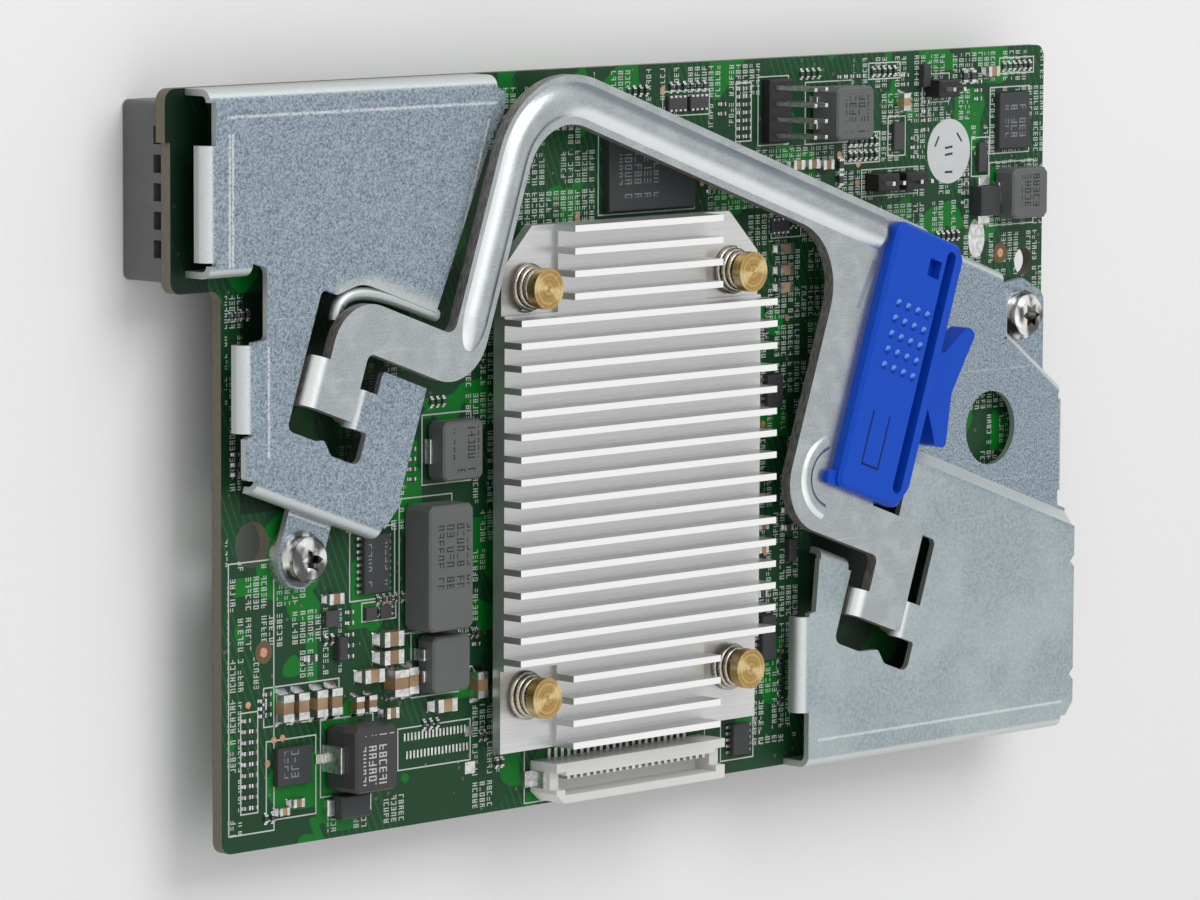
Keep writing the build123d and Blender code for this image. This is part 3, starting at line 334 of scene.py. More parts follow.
def zinc_sheet():
    look = bpy.context.scene.card_metal
    paint = Paint("zinc_sheet", look.zinc, metallic=0.8, roughness=0.4)
    where = paint.board()
    x, y, _ = paint.split(where)
    grain = paint.noise(where, 3.5, 3.0, 0.8)
    spangle = paint.split(paint.cells(where, 3.4, out=1))[0]
    tone = paint.mix(grain.ease(0.36, 0.64), scaled(look.zinc, 0.45), scaled(look.zinc, 1.5))
    tone = paint.mix(spangle * 0.3, tone, (0.40, 0.48, 0.56))
    # The lower plate of the right bracket is plainer and warmer
    fine = paint.noise(where, 2.6, 4.0, 0.75)
    plain = paint.mix(fine.ease(0.3, 0.7), (0.25, 0.305, 0.325), (0.40, 0.46, 0.48))
    cloud = paint.noise(where, 0.09, 2.0)
    plain = paint.mix(cloud.ease(0.4, 0.65) * 0.35, plain, (0.50, 0.56, 0.57))
    lower_right = (x > 60) * (1.0 - (y + x * 0.352).ease(77.8, 80.0))
    tone = paint.mix(lower_right, tone, plain)
    scratch = paint.noise(paint.board(turn=0.5, stretch=(0.05, 4.0, 1.0)), 0.9, 2.0).ease(0.70, 0.73)
    tone = paint.mix(scratch * 0.25, tone, (0.66, 0.70, 0.72))
    crease_and_highlight = 0.0
    for angle, distance, across, along in CREASES:
        line = 1.0 - abs(paint.slant(x, y, angle) - distance).ease(0.06, 0.28)
        crease_and_highlight = line * x.within(*across) * y.within(*along) | crease_and_highlight
    # Pressed lines, with a painted highlight along them
    tone = paint.mix(crease_and_highlight * grain.ease(0.3, 0.5) * 0.55, tone, (0.80, 0.83, 0.83))
    # Painted highlight: a pale band along the rolled lip of the left bracket's opening, where its bend
    # catches the light
    along, across = paint.lever_place(x, y)
    rim = across - 14.0 + (1.0 - along.ease(-1.2, 4.6)) * 2.3
    lip = (1.0 - rim.ease(0.4, 2.6)) * along.ease(-2.2, -0.6) * (along < 19.0) * (across > 11.0) * (x < 40)
    tone = paint.mix(lip * 0.75, tone, (0.56, 0.60, 0.59))
    # Painted highlight on faces that are not flat, such as the bends of the folds
    up = abs(paint.facing_up())
    curve_highlight = 1.0 - up.ease(0.90, 0.995)
    tone = paint.mix(curve_highlight * 0.75, tone, (0.66, 0.69, 0.68))
    cut = 1.0 - up.ease(0.02, 0.2)
    tone = paint.mix(cut * 0.5, tone, (0.34, 0.35, 0.32))
    paint.feed({"Base Color": tone, "Roughness": grain * 0.3 + curve_highlight * 0.12 + 0.22})
    paint.bump(grain + spangle * 0.4 + crease_and_highlight * 0.6 + lip * 2.0, 0.025, 0.45)
    return paint.material


def lever_steel():
    look = bpy.context.scene.card_metal
    paint = Paint("lever_steel", look.lever, metallic=0.85, roughness=0.32)
    where = paint.board()
    rolled = paint.noise(paint.board(turn=0.34, stretch=(0.1, 2.6, 1.0)), 1.1, 3.0, 0.6)
    grain = paint.noise(where, 3.4, 3.0, 0.75)
    wide = paint.noise(where, 0.35, 2.0)
    tone = paint.mix(grain.ease(0.22, 0.78), scaled(look.lever, 0.84), scaled(look.lever, 1.16))
    # Painted reflection: soft lighter patches as on reflective satin steel
    tone = paint.mix(wide.ease(0.4, 0.7) * 0.35, tone, (0.52, 0.56, 0.57))
    tone = paint.mix(rolled.ease(0.55, 0.75) * 0.2, tone, (0.70, 0.73, 0.74))
    # Painted shade on faces that lean one way across the rib, and a painted highlight on faces that lean the
    # other way
    lean_x, lean_y, up = paint.facing()
    up = abs(up)
    lean = lean_x * 0.90 + lean_y * 0.43
    shade = lean.ease(0.10, 0.34) * (1.0 - lean.ease(0.8, 0.95))
    tone = paint.mix(shade * 0.75, tone, (0.13, 0.16, 0.19))
    tone = paint.mix((0.0 - lean).ease(0.06, 0.32) * 0.75, tone, (0.84, 0.87, 0.87))
    # Painted highlight on the sloping faces of the rib and the rounded edges
    curve_highlight = (1.0 - up.ease(0.6, 0.8)) * up.ease(0.2, 0.4)
    tone = paint.mix(curve_highlight * 0.6, tone, (0.66, 0.68, 0.64))
    x, y, _ = paint.split(where)
    along, across = paint.lever_place(x, y)
    # A pressed dent, with painted shade inside it
    shaded_dent = (1.0 - abs(along - across * 0.17 - 79.55).ease(0.25, 0.6)) * across.within(35.0, 41.6)
    tone = paint.mix(shaded_dent * 0.45, tone, (0.16, 0.18, 0.19))
    # Cut sides of the strap: raw steel's own colour, darkened with painted shade
    side = paint.noise(paint.board(stretch=(0.6, 0.6, 5.0)), 1.5, 3.0)
    raw_and_shaded_side = paint.mix(side.ease(0.3, 0.7), (0.11, 0.10, 0.09), (0.32, 0.305, 0.29))
    cut = 1.0 - up.ease(0.12, 0.3)
    paint.feed({
        "Base Color": paint.mix(cut, tone, raw_and_shaded_side),
        "Roughness": grain * 0.2 + cut * 0.2 + 0.2,
        "Metallic": 0.88 - cut * 0.4,
    })
    paint.bump(grain * 0.6 + rolled * 0.5 - shaded_dent * 2.0, 0.02, 0.35)
    return paint.material


def moulded(name, color, roughness=0.45, speck=0.35, grain=5.0, printed=(), ink=(0.34, 0.34, 0.34)):
    """Moulded plastic or pressed powder: fine grain, faint flow marks and printed areas."""
    paint = Paint(name, color, roughness=roughness, **{"Specular IOR Level": 0.3})
    where = paint.board()
    fine = paint.noise(where, grain, 3.0, 0.7)
    flow = paint.noise(paint.board(stretch=(0.3, 1.2, 1.0)), 0.4, 2.0)
    tone = paint.mix(fine * speck, color, scaled(color, 1.9, 0.03))
    tone = paint.mix(flow * 0.3, tone, scaled(color, 0.55))
    if printed:
        x, y, _ = paint.split(where)
        marks = paint.glyphs(x, y, pitch=1.7, advance=0.9, tall=1.25, wide=0.62, line=0.17)
        tone = paint.mix(marks * patches(x, y, printed) * paint.facing_up().ease(0.8, 0.95), tone, ink)
    paint.feed({"Base Color": tone, "Roughness": fine * 0.2 + (roughness - 0.1)})
    paint.bump(fine, 0.015, 0.3)
    return paint.material


def latch_blue():
    color = bpy.context.scene.card_metal.latch
    paint = Paint("latch_blue", color, roughness=0.36, **{"Specular IOR Level": 0.12})
    where = paint.board()
    x, y, z = paint.split(where)
    along, across = paint.lever_place(x, y)
    # An engraved groove, painted dark as shade inside it
    sides = (along.band(91.0, 0.14) | along.band(94.2, 0.14)) * across.within(16.1, 23.2)
    shaded_groove = (across.band(16.2, 0.14) * along.within(91.0, 94.2) | sides) * (z > 7.8)
    fine = paint.noise(where, 4.5, 3.0, 0.7)
    glint = paint.noise(where, 7.0, 2.0, 0.6).ease(0.62, 0.75)
    tone = paint.mix(fine * 0.25, color, scaled(color, 1.9, 0.03))
    tone = paint.mix(glint * 0.25, tone, (0.05, 0.22, 0.75))
    tone = paint.mix(shaded_groove, tone, (0.002, 0.012, 0.10))
    dots = across.within(28.0, 38.4) * along.within(89.6, 97.8) * (z > LEVER_TOP + 1.74)
    lit = (paint.facing()[1] - paint.facing()[0] * 0.4).ease(-0.1, 0.35)
    tone = paint.mix(dots * 0.8, tone, paint.mix(lit, (0.003, 0.05, 0.42), (0.16, 0.38, 0.95)))
    paint.feed({"Base Color": tone, "Roughness": fine * 0.25 + 0.24})
    paint.bump(fine - shaded_groove * 3.0, 0.03, 0.45)
    return paint.material


def bright_metal(name, color, roughness=0.25, grain=4.0, metallic=0.95, relief=0.35):
    """Small plated parts: bright metal with fine uneven grain."""
    paint = Paint(name, color, metallic=metallic, roughness=roughness)
    where = paint.board()
    fine = paint.noise(where, grain, 3.0, 0.6)
    tone = paint.mix(fine.ease(0.3, 0.7), scaled(color, 0.72), scaled(color, 1.15))
    paint.feed({"Base Color": tone, "Roughness": fine * 0.25 + (roughness - 0.08)})
    paint.bump(fine, 0.02, relief)
    return paint.material


def sink_aluminium():
    paint = Paint("sink_aluminium", (0.86, 0.87, 0.87), metallic=0.75, roughness=0.34)
    where = paint.board()
    z = paint.split(where)[2]
    drawn = paint.noise(paint.board(stretch=(0.06, 3.0, 3.0)), 1.3, 3.0, 0.6)
    up = paint.facing_up()
    tone = paint.mix(drawn.ease(0.3, 0.7), (0.60, 0.61, 0.61), (0.74, 0.75, 0.75))
    # Painted highlight on the fin tops
    lit_fin_tops = up.ease(0.7, 0.9) * (z > 6.5)
    tone = paint.mix(lit_fin_tops, tone, (0.88, 0.88, 0.87))
    # Painted shade on the channel floors between the fins
    floor = (z < 4.4) * up.ease(0.7, 0.9)
    tone = paint.mix(floor * 0.5, tone, (0.55, 0.55, 0.54))
    # Painted shade on the end faces of the fins
    ends = 1.0 - abs(up).ease(0.1, 0.3)
    normal_x = abs(paint.facing()[0])
    tone = paint.mix(ends * normal_x.ease(0.6, 0.9) * 0.6, tone, (0.34, 0.38, 0.36))
    paint.feed({"Base Color": tone, "Roughness": drawn * 0.2 + 0.24})
    paint.bump(drawn, 0.02, 0.3)
    return paint.material


def turned_brass():
    paint = Paint("turned_brass", (0.72, 0.52, 0.24), metallic=0.95, roughness=0.3)
    where = paint.board()
    x, y, z = paint.split(where)
    off_x = abs(x - (SCREW_LOW.x + SCREW_HIGH.x) / 2) - (SCREW_HIGH.x - SCREW_LOW.x) / 2
    off_y = abs(y - (SCREW_LOW.y + SCREW_HIGH.y) / 2) - (SCREW_HIGH.y - SCREW_LOW.y) / 2
    radius = (off_x * off_x + off_y * off_y).root()
    ring = paint.node("ShaderNodeCombineXYZ", {}, {0: radius * 6.0, 1: z * 4.0})
    turned = paint.noise(ring, 1.0, 3.0, 0.7)
    tarnish = paint.noise(where, 1.6, 3.0)
    swing = off_y.work("ARCTAN2", off_y, off_x) * 2.0 + 0.9
    glare = swing.work("SINE", swing)
    tone = paint.mix(turned.ease(0.3, 0.7), (0.30, 0.185, 0.055), (0.60, 0.42, 0.17))
    tone = paint.mix(glare.ease(0.3, 1.0) * 0.5, tone, (0.86, 0.70, 0.40))
    tone = paint.mix(tarnish.ease(0.5, 0.75) * 0.4, tone, (0.20, 0.12, 0.04))
    paint.feed({"Base Color": tone, "Roughness": turned * 0.2 + 0.22})
    paint.bump(turned, 0.03, 0.5)
    return paint.material


def screw_chrome():
    """Chrome with painted reflections: dark and light patches of a room painted into its colour."""
    paint = Paint("screw_chrome", (0.6, 0.6, 0.6), metallic=1.0, roughness=0.2)
    where = paint.board(stretch=(1.0, 0.6, 1.4))
    # Painted reflection: noise patches of dark and light
    patch = paint.noise(where, 0.6, 1.0, 0.4)
    fine = paint.noise(where, 4.0, 2.0)
    tone = paint.mix(patch.ease(0.38, 0.6), (0.10, 0.10, 0.10), (0.72, 0.72, 0.71))
    paint.feed({"Base Color": tone, "Roughness": fine * 0.2 + 0.12})
    paint.bump(fine, 0.02, 0.12)
    return paint.material


def capacitor_brown():
    paint = Paint("capacitor_brown", (0.30, 0.17, 0.08), roughness=0.42)
    where = paint.board()
    fine = paint.noise(where, 3.0, 3.0, 0.7)
    each = paint.noise(where, 0.25, 0.0)
    tone = paint.mix(each.ease(0.35, 0.65), (0.22, 0.12, 0.055), (0.40, 0.25, 0.13))
    tone = paint.mix(fine * 0.4, tone, (0.50, 0.36, 0.22))
    paint.feed({"Base Color": tone, "Roughness": fine * 0.2 + 0.32})
    paint.bump(fine, 0.02, 0.3)
    return paint.material


NODE_FINISHES = {
    "laminate": ["circuit_board"],
    "zinc_sheet": ["left_bracket", "right_bracket"],
    "lever_steel": ["lever_handle"],
    "latch_blue": ["latch_grip"],
    "connector_black": ["mezzanine_connector"],
    "rivet_steel": ["pivot_rivets", "foot_spacer", "screw_nuts"],
    "package_black": [
        "controller_chip", "memory_chip", "leadless_chips", "leaded_chips", "diodes", "transistors",
    ],
    "pad_grey": ["thermal_pad"],
    "sink_aluminium": ["heat_sink"],
    "turned_brass": ["spring_screws"],
    "spring_steel": ["screw_springs"],
    "screw_chrome": ["bracket_screws"],
    "white_nylon": ["cable_connector"],
    "tin": [
        "cable_contacts", "connector_tabs", "chip_leads", "choke_terminals", "diode_terminals",
        "capacitor_ends", "header_pins",
    ],
    "choke_grey": ["power_chokes"],
    "choke_black": ["clip_choke"],
    "capacitor_brown": ["capacitor_bodies"],
    "header_black": ["pin_headers"],
    "resistor_black": ["chip_resistors"],
}


# Colour, roughness, share of specks, grain, printed areas and their ink
PLASTICS = {
    "connector_black": ((0.11, 0.11, 0.113), 0.5, 0.5),
    "package_black": ((0.032, 0.034, 0.036), 0.55, 0.5, 6.0, CHIP_PRINT, (0.22, 0.23, 0.23)),
    "pad_grey": ((0.40, 0.40, 0.42), 0.8),
    "white_nylon": ((0.78, 0.78, 0.75), 0.4, 0.1, 3.0),
    "choke_grey": ((0.10, 0.105, 0.103), 0.5, 0.6, 5.0, CHOKE_PRINT, (0.02, 0.02, 0.02)),
    "choke_black": ((0.035, 0.035, 0.035), 0.45, 0.5, 5.0, CLIP_PRINT, (0.55, 0.56, 0.56)),
    "header_black": ((0.014, 0.014, 0.014), 0.4),
    "resistor_black": ((0.05, 0.05, 0.055), 0.5),
    "legend_white": ((0.62, 0.65, 0.62), 0.6, 0.1, 2.0),
    "label_white": ((0.66, 0.68, 0.68), 0.5, 0.1, 2.0),
    "bare_laminate": ((0.13, 0.085, 0.04), 0.6, 0.3, 3.0),
}
# Colour, roughness, grain, metallic and relief
METALS = {
    "rivet_steel": ((0.50, 0.49, 0.48), 0.34),
    "spring_steel": ((0.42, 0.39, 0.33), 0.22, 3.0, 1.0, 0.15),
    "tin": ((0.66, 0.66, 0.65), 0.26, 1.3, 0.95, 0.3),
    "solder": ((0.40, 0.41, 0.40), 0.2, 1.5, 1.0, 0.3),
    "copper": ((0.62, 0.33, 0.21), 0.45, 3.0, 0.5),
}


def make_finishes():
    """Make every material of the card."""
    for special in (
        laminate, zinc_sheet, lever_steel, latch_blue, sink_aluminium, turned_brass, screw_chrome,
        capacitor_brown,
    ):
        special()
    for name, look in PLASTICS.items():
        moulded(name, *look)
    for name, look in METALS.items():
        bright_metal(name, *look)


def finish(name):
    """A material made before, by its name."""
    return bpy.data.materials[f"{name} finish"]


def tint(name, description, default):
    """A colour that the panel shows."""
    return FloatVectorProperty(
        name=name, description=description, default=default, subtype="COLOR", size=3, min=0.0, max=1.0,
    )


class BoardLook(bpy.types.PropertyGroup):
    """Colours of the circuit board and its printed legend."""

    mask_dark: tint("Solder mask", "Green of the mask over bare laminate", (0.012, 0.064, 0.024))
    mask_deep: tint("Mask in the cloudy parts", "Darker green that clouds the mask", (0.004, 0.026, 0.010))
    mask_bright: tint("Mask over copper", "Green of the mask over copper areas", (0.004, 0.17, 0.018))
    legend: tint("Legend", "Ink of the printed legend", (0.50, 0.55, 0.50))
    line: FloatProperty(
        name="Legend line", description="Width of the printed outlines", unit="LENGTH",
        default=0.16 * MM, min=0.05 * MM, max=0.5 * MM,
    )


class MetalLook(bpy.types.PropertyGroup):
    """Colours of the brackets, the lever and its latch."""

    zinc: tint("Zinc sheet", "Colour of the plated brackets", (0.235, 0.29, 0.335))
    lever: tint("Lever", "Colour of the lever's plated faces", (0.36, 0.39, 0.40))
    latch: tint("Latch", "Colour of the latch's plastic", (0.003, 0.065, 0.50))


class StageLook(bpy.types.PropertyGroup):
    """Floor, lamps and surroundings of the studio."""

    floor: tint("Floor", "Colour of the floor", (0.95, 0.95, 0.95))
    ambient: FloatProperty(
        name="Ambient", description="Strength of the light from all round", default=0.55, min=0.0, max=2.0,
    )
    key: FloatProperty(
        name="Key lamp", description="Power of the large lamp", unit="POWER", default=1.8, min=0.0, max=50.0,
    )


LOOKS = {"card_board": BoardLook, "card_metal": MetalLook, "card_stage": StageLook}


def select_only(*things):
    """Deselect everything, then select and activate the pieces given."""
    if bpy.context.mode != "OBJECT":
        bpy.ops.object.mode_set(mode="OBJECT")
    bpy.ops.object.select_all(action="DESELECT")
    for thing in things:
        thing.select_set(True)
    if things:
        bpy.context.view_layer.objects.active = things[0]


def settle():
    """Put the new piece's place, turn and size into its mesh."""
    bpy.ops.object.transform_apply(location=True, rotation=True, scale=True)
    return bpy.context.object


def open_mesh(made):
    """Enter edit mode on a piece with all of it selected."""
    select_only(made)
    bpy.ops.object.mode_set(mode="EDIT")
    bpy.ops.mesh.select_all(action="SELECT")


def close_mesh():
    """Turn every normal outward and leave edit mode."""
    bpy.ops.mesh.select_all(action="SELECT")
    bpy.ops.mesh.normals_make_consistent(inside=False)
    bpy.ops.object.mode_set(mode="OBJECT")


def block(center, size):
    """A cube primitive at its size and place, in board millimetres."""
    select_only()
    bpy.ops.mesh.primitive_cube_add(size=1.0, location=place(*center))
    bpy.context.object.scale = Vector(size) * MM
    return settle()


def bevel_all(made, width, segments=1):
    """Round every edge of a piece."""
    open_mesh(made)
    bpy.ops.mesh.bevel(offset=width * MM, segments=segments, affect="EDGES")
    bpy.ops.object.mode_set(mode="OBJECT")


def cap(made, level, flatness=1.0):
    """Flatten a piece about a level above the board's face, and keep what stands over it."""
    here = place(0, 0, level)
    open_mesh(made)
    bpy.ops.transform.resize(value=(1, 1, flatness), center_override=here)
    bpy.ops.mesh.select_all(action="SELECT")
    bpy.ops.mesh.bisect(plane_co=here, plane_no=(0, 0, 1), clear_inner=True, use_fill=True)
    bpy.ops.object.mode_set(mode="OBJECT")
    bpy.ops.object.shade_smooth()


def rod(path, radius):
    """A round rod along a smooth path through five board places, closed at its ends."""
    select_only()
    bpy.ops.curve.primitive_nurbs_path_add(location=(0, 0, 0))
    curve = bpy.context.object.data
    curve.bevel_depth = radius * MM
    curve.bevel_resolution = 3
    curve.resolution_u = 10
    curve.use_fill_caps = True
    for point, spot in zip(curve.splines[0].points, path):
        point.co = (*place(*spot), 1.0)
    bpy.ops.object.convert(target="MESH")
    bpy.ops.object.shade_smooth()
    return bpy.context.object


def coat(made, name):
    """Give a piece its material."""
    made.data.materials.clear()
    made.data.materials.append(finish(name))


def join(pieces, name, body="card"):
    """Join pieces to one named object that rides on a body."""
    select_only(*pieces)
    if len(pieces) > 1:
        bpy.ops.object.join()
    whole = bpy.context.view_layer.objects.active
    whole.name = name
    whole.data.name = name
    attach(whole, body)
    return whole


def spread(original, spots, name, body="card"):
    """Copy a piece modelled at the board's corner to each (x, y, turn), and join the copies."""
    copies = []
    for x, y, turn in spots:
        copy = original.copy()
        copy.data = original.data.copy()
        bpy.context.collection.objects.link(copy)
        here = place(0, 0)
        move = Matrix.Translation(place(x, y)) @ Matrix.Rotation(turn, 4, "Z") @ Matrix.Translation(-here)
        copy.data.transform(move)
        copies.append(copy)
    bpy.data.objects.remove(original)
    return join(copies, name, body)


def line_up(x, y, count, step_x, step_y=0, turn=UP):
    """Places of a row of parts, turned across a row along X unless told otherwise."""
    return [(x + i * step_x, y + i * step_y, turn) for i in range(count)]


# Rows of chip parts, as line_up takes them
TINY_ROWS = [
    (75.7, 87.2, 6, 1.2), (25.2, 27.9, 7, 1.05), (20.6, 25.6, 2, 0, 1.3, 0), (20.6, 21.6, 3, 0, 1.3, 0),
    (7.2, 16.0, 3, 0, 1.2, 0), (41.9, 21.0, 1, 1, 0, 0), (33.0, 12.0, 3, 1.1), (63.0, 84.0, 5, 1.1),
    (68.0, 87.0, 4, 1.1), (99.6, 88.0, 4, 1.1), (123.4, 80.0, 4, 0, 1.2, 0), (131.4, 70.2, 4, 0, 1.2, 0),
    (126.0, 66.0, 5, 1.0), (112.0, 67.4, 4, 1.1), (23.4, 26.5, 5, 1.05), (16.6, 23.9, 2, 1.1),
    (3.8, 5.2, 9, 0, 1.3, 0), (5.0, 5.2, 8, 0, 1.3, 0), (6.4, 15.9, 3, 0, 0.9, 0), (6.9, 3.6, 2, 1.1),
    (41.2, 22.4, 2, 0.9), (42.6, 9.6, 2, 0.9), (45.4, 6.0, 2, 0.9), (1.2, 63.4, 4, 1.0),
    (2.2, 44.8, 3, 0, 1.2, 0), (88.3, 80.6, 7, 0, 1.0, 0), (89.6, 80.6, 7, 0, 1.0, 0),
    (107.2, 87.4, 4, 1.2, 0, 0), (113.2, 87.8, 5, 1.05), (138.8, 87.6, 6, 1.05), (108.9, 77.2, 6, 1.0),
    (108.9, 79.0, 6, 1.0), (133.8, 83.6, 3, 0, 1.1, 0), (119.4, 86.0, 2, 0, 1.2, 0),
    (95.2, 69.2, 5, 0.95), (90.4, 24.0, 6, 0, 1.5, 0), (91.8, 36.4, 5, 0, 1.4, 0),
    (90.2, 8.4, 4, 0, 1.5, 0), (92.0, 3.4, 3, 0, 1.3, 0), (93.4, 54.6, 4, 0, 1.3, UP),
    (34.2, 51.0, 3, 1.0), (30.9, 42.0, 4, 0, 1.2, 0), (28.4, 41.0, 4, 0, 1.2, 0),
    (96.2, 8.6, 5, 0, 1.4, UP), (83.0, 74.0, 3, 0, 1.2, 0), (56.0, 83.0, 3, 1.2, 0, 0),
    (20.0, 40.6, 3, 0, 1.0, 0), (121.4, 76.6, 3, 0, 1.2, 0), (93.6, 73.6, 4, 1.1),
    (85.0, 83.6, 2, 0, 1.2, 0),
]
SMALL_ROWS = [
    (90.2, 50.0, 3, 0, 2.0, 0), (14.2, 22.0, 1, 1, 0, 0), (107.0, 76.2, 2, 0, -1.9, UP),
    (97.6, 30.5, 3, 0, 2.2, 0), (131.0, 86.6, 2, 1.6), (92.8, 22.4, 1, 0, 1, 0), (26.4, 12.0, 1, 1, 0, 0),
]


def chip_part(length, width, height, cap):
    """A two-ended chip part at the board's corner: dark body and soldered metal ends."""
    body = block((0, 0, height / 2), (length - 2 * cap, width * 0.94, height * 0.94))
    bevel_all(body, 0.04)
    coat(body, "resistor_black")
    pieces = [body]
    for side in (-1, 1):
        end = block((side * (length - cap) / 2, 0, height / 2 + 0.01), (cap, width, height))
        bevel_all(end, 0.07, 2)
        coat(end, "tin")
        pieces.append(end)
        fillet = block((side * (length / 2 + 0.12), 0, 0.07), (0.26, width * 0.9, 0.14))
        bevel_all(fillet, 0.05)
        coat(fillet, "tin")
        pieces.append(fillet)
    select_only(*pieces)
    bpy.ops.object.join()
    return bpy.context.object


class CARD_OT_finish_nodes(bpy.types.Operator):
    """Give every CAD node its finish."""

    bl_idname = "card.finish_nodes"
    bl_label = "Finish CAD nodes"

    def execute(self, context):
        make_finishes()
        for name, nodes in NODE_FINISHES.items():
            for node in nodes:
                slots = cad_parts[node].data.materials
                slots.clear()
                slots.append(finish(name))
        return {"FINISHED"}


# Middle, length, width and turn
CAPACITORS = [
    (9.4, 16.6, 3.2, 1.7, UP), (11.9, 16.6, 3.2, 1.7, UP), (14.9, 16.6, 3.2, 1.7, UP),
    (17.3, 16.6, 3.2, 1.7, UP), (21.4, 15.7, 2.0, 1.3, UP), (23.5, 15.7, 2.0, 1.3, UP),
    (27.5, 17.8, 3.2, 2.3, UP), (30.1, 17.8, 3.2, 1.6, UP), (41.7, 16.1, 3.2, 1.7, UP),
    (118.7, 83.8, 2.2, 1.3, UP), (26.6, 23.2, 3.2, 1.8, 0), (26.6, 21.0, 3.2, 1.7, 0),
    (23.6, 19.0, 3.2, 1.6, 0), (26.8, 14.2, 2.0, 1.3, 0), (35.8, 14.2, 3.2, 1.6, 0),
    (17.7, 28.8, 2.4, 1.3, 0), (11.6, 5.0, 1.8, 1.0, 0), (9.4, 4.2, 1.6, 0.9, 0),
    (98.4, 76.6, 2.0, 1.2, 0), (101.2, 76.6, 2.0, 1.2, 0), (104.0, 76.4, 2.0, 1.2, 0),
    (136.0, 87.1, 2.2, 1.3, 0), (96.2, 66.1, 2.4, 1.3, 0), (96.2, 63.4, 2.4, 1.3, 0),
    (96.2, 61.2, 2.4, 1.3, 0), (92.4, 31.2, 1.8, 1.0, 0), (92.4, 28.2, 1.8, 1.0, 0),
]
ARRAYS = [(75.0, 84.4), (78.9, 84.4), (94.1, 68.2)]


def fillet(length, width, height):
    """A wedge of solder at the board's corner: tall at X 0, thin at its far end, narrower on top."""
    made = block((length / 2, 0, height / 2), (length, width, height))
    tall = place(0, 0, height / 2).z
    for vertex in made.data.vertices:
        if vertex.co.z > tall:
            outer = vertex.co.x > place(length / 2, 0).x
            vertex.co.y = place(0, 0).y + (vertex.co.y - place(0, 0).y) * (0.55 if outer else 0.9)
            if outer:
                vertex.co.z -= 0.85 * height * MM
    bevel_all(made, 0.05, 2)
    select_only(made)
    bpy.ops.object.shade_smooth_by_angle(angle=math.radians(50))
    coat(made, "solder")
    return made


class CARD_OT_solder(bpy.types.Operator):
    """Add the solder at the ends of the capacitors, and the end contacts of the resistor arrays."""

    bl_idname = "card.solder"
    bl_label = "Solder"

    def execute(self, context):
        big, little = [], []
        for x, y, length, width, turn in CAPACITORS:
            reach = length / 2 - 0.03
            for side in (0.0, math.pi):
                spot = (x + reach * math.cos(turn + side), y + reach * math.sin(turn + side), turn + side)
                (big if width > 1.4 else little).append(spot)
        wedges = [
            spread(fillet(0.75, 1.7, 0.75), big, "big_solder"),
            spread(fillet(0.5, 1.15, 0.5), little, "little_solder"),
        ]
        join(wedges, "solder_fillets")
        contact = block((0, 0, 0.3), (0.42, 0.3, 0.6))
        bevel_all(contact, 0.06)
        coat(contact, "tin")
        spots = [
            (x + 0.35 + column * 0.82, y + row * 1.7 - 0.05, 0.0)
            for x, y in ARRAYS for row in (0, 1) for column in range(4)
        ]
        spread(contact, spots, "array_contacts")
        return {"FINISHED"}


class CARD_OT_chip_parts(bpy.types.Operator):
    """Solder the small two-ended chip parts on the board."""

    bl_idname = "card.chip_parts"
    bl_label = "Small chip parts"

    def execute(self, context):
        for name, sizes, rows in (
            ("tiny_chip_parts", (1.0, 0.5, 0.35, 0.24), TINY_ROWS),
            ("small_chip_parts", (1.6, 0.85, 0.5, 0.36), SMALL_ROWS),
        ):
            spots = [spot for row in rows for spot in line_up(*row)]
            spread(chip_part(*sizes), spots, name)
        return {"FINISHED"}


# Left, low, right and high
OUTLINES = [
    (7.0, 3.2, 15.2, 12.8), (15.8, 5.0, 24.6, 14.4), (6.6, 14.4, 19.0, 19.2), (2.9, 4.4, 5.8, 16.6),
    (22.6, 25.4, 28.4, 27.8), (30.8, 15.4, 39.0, 23.4), (28.8, 23.3, 37.8, 39.8),
    (32.6, 41.0, 41.0, 49.6), (100.4, 79.0, 109.4, 87.0), (91.6, 79.2, 97.4, 88.0),
    (122.8, 83.4, 128.2, 87.2), (136.2, 76.2, 144.2, 85.0), (107.9, 76.2, 114.8, 80.2),
    (111.2, 71.8, 122.2, 75.4), (132.6, 73.4, 136.2, 78.6), (116.2, 76.8, 119.7, 82.0),
    (87.5, 79.9, 90.5, 87.4), (136.2, 66.8, 145.2, 75.2), (62.8, 71.9, 80.2, 81.9),
    (74.2, 83.6, 82.8, 86.8), (94.2, 67.4, 99.9, 70.9), (112.4, 86.8, 118.6, 89.0),
    (138.0, 86.6, 145.0, 88.8), (28.6, 6.8, 41.0, 12.0), (20.6, 28.0, 28.2, 36.8), (1.0, 2.0, 8.4, 34.4),
    (85.4, 1.6, 91.6, 7.2), (50.2, 0.3, 82.6, 7.6),
]


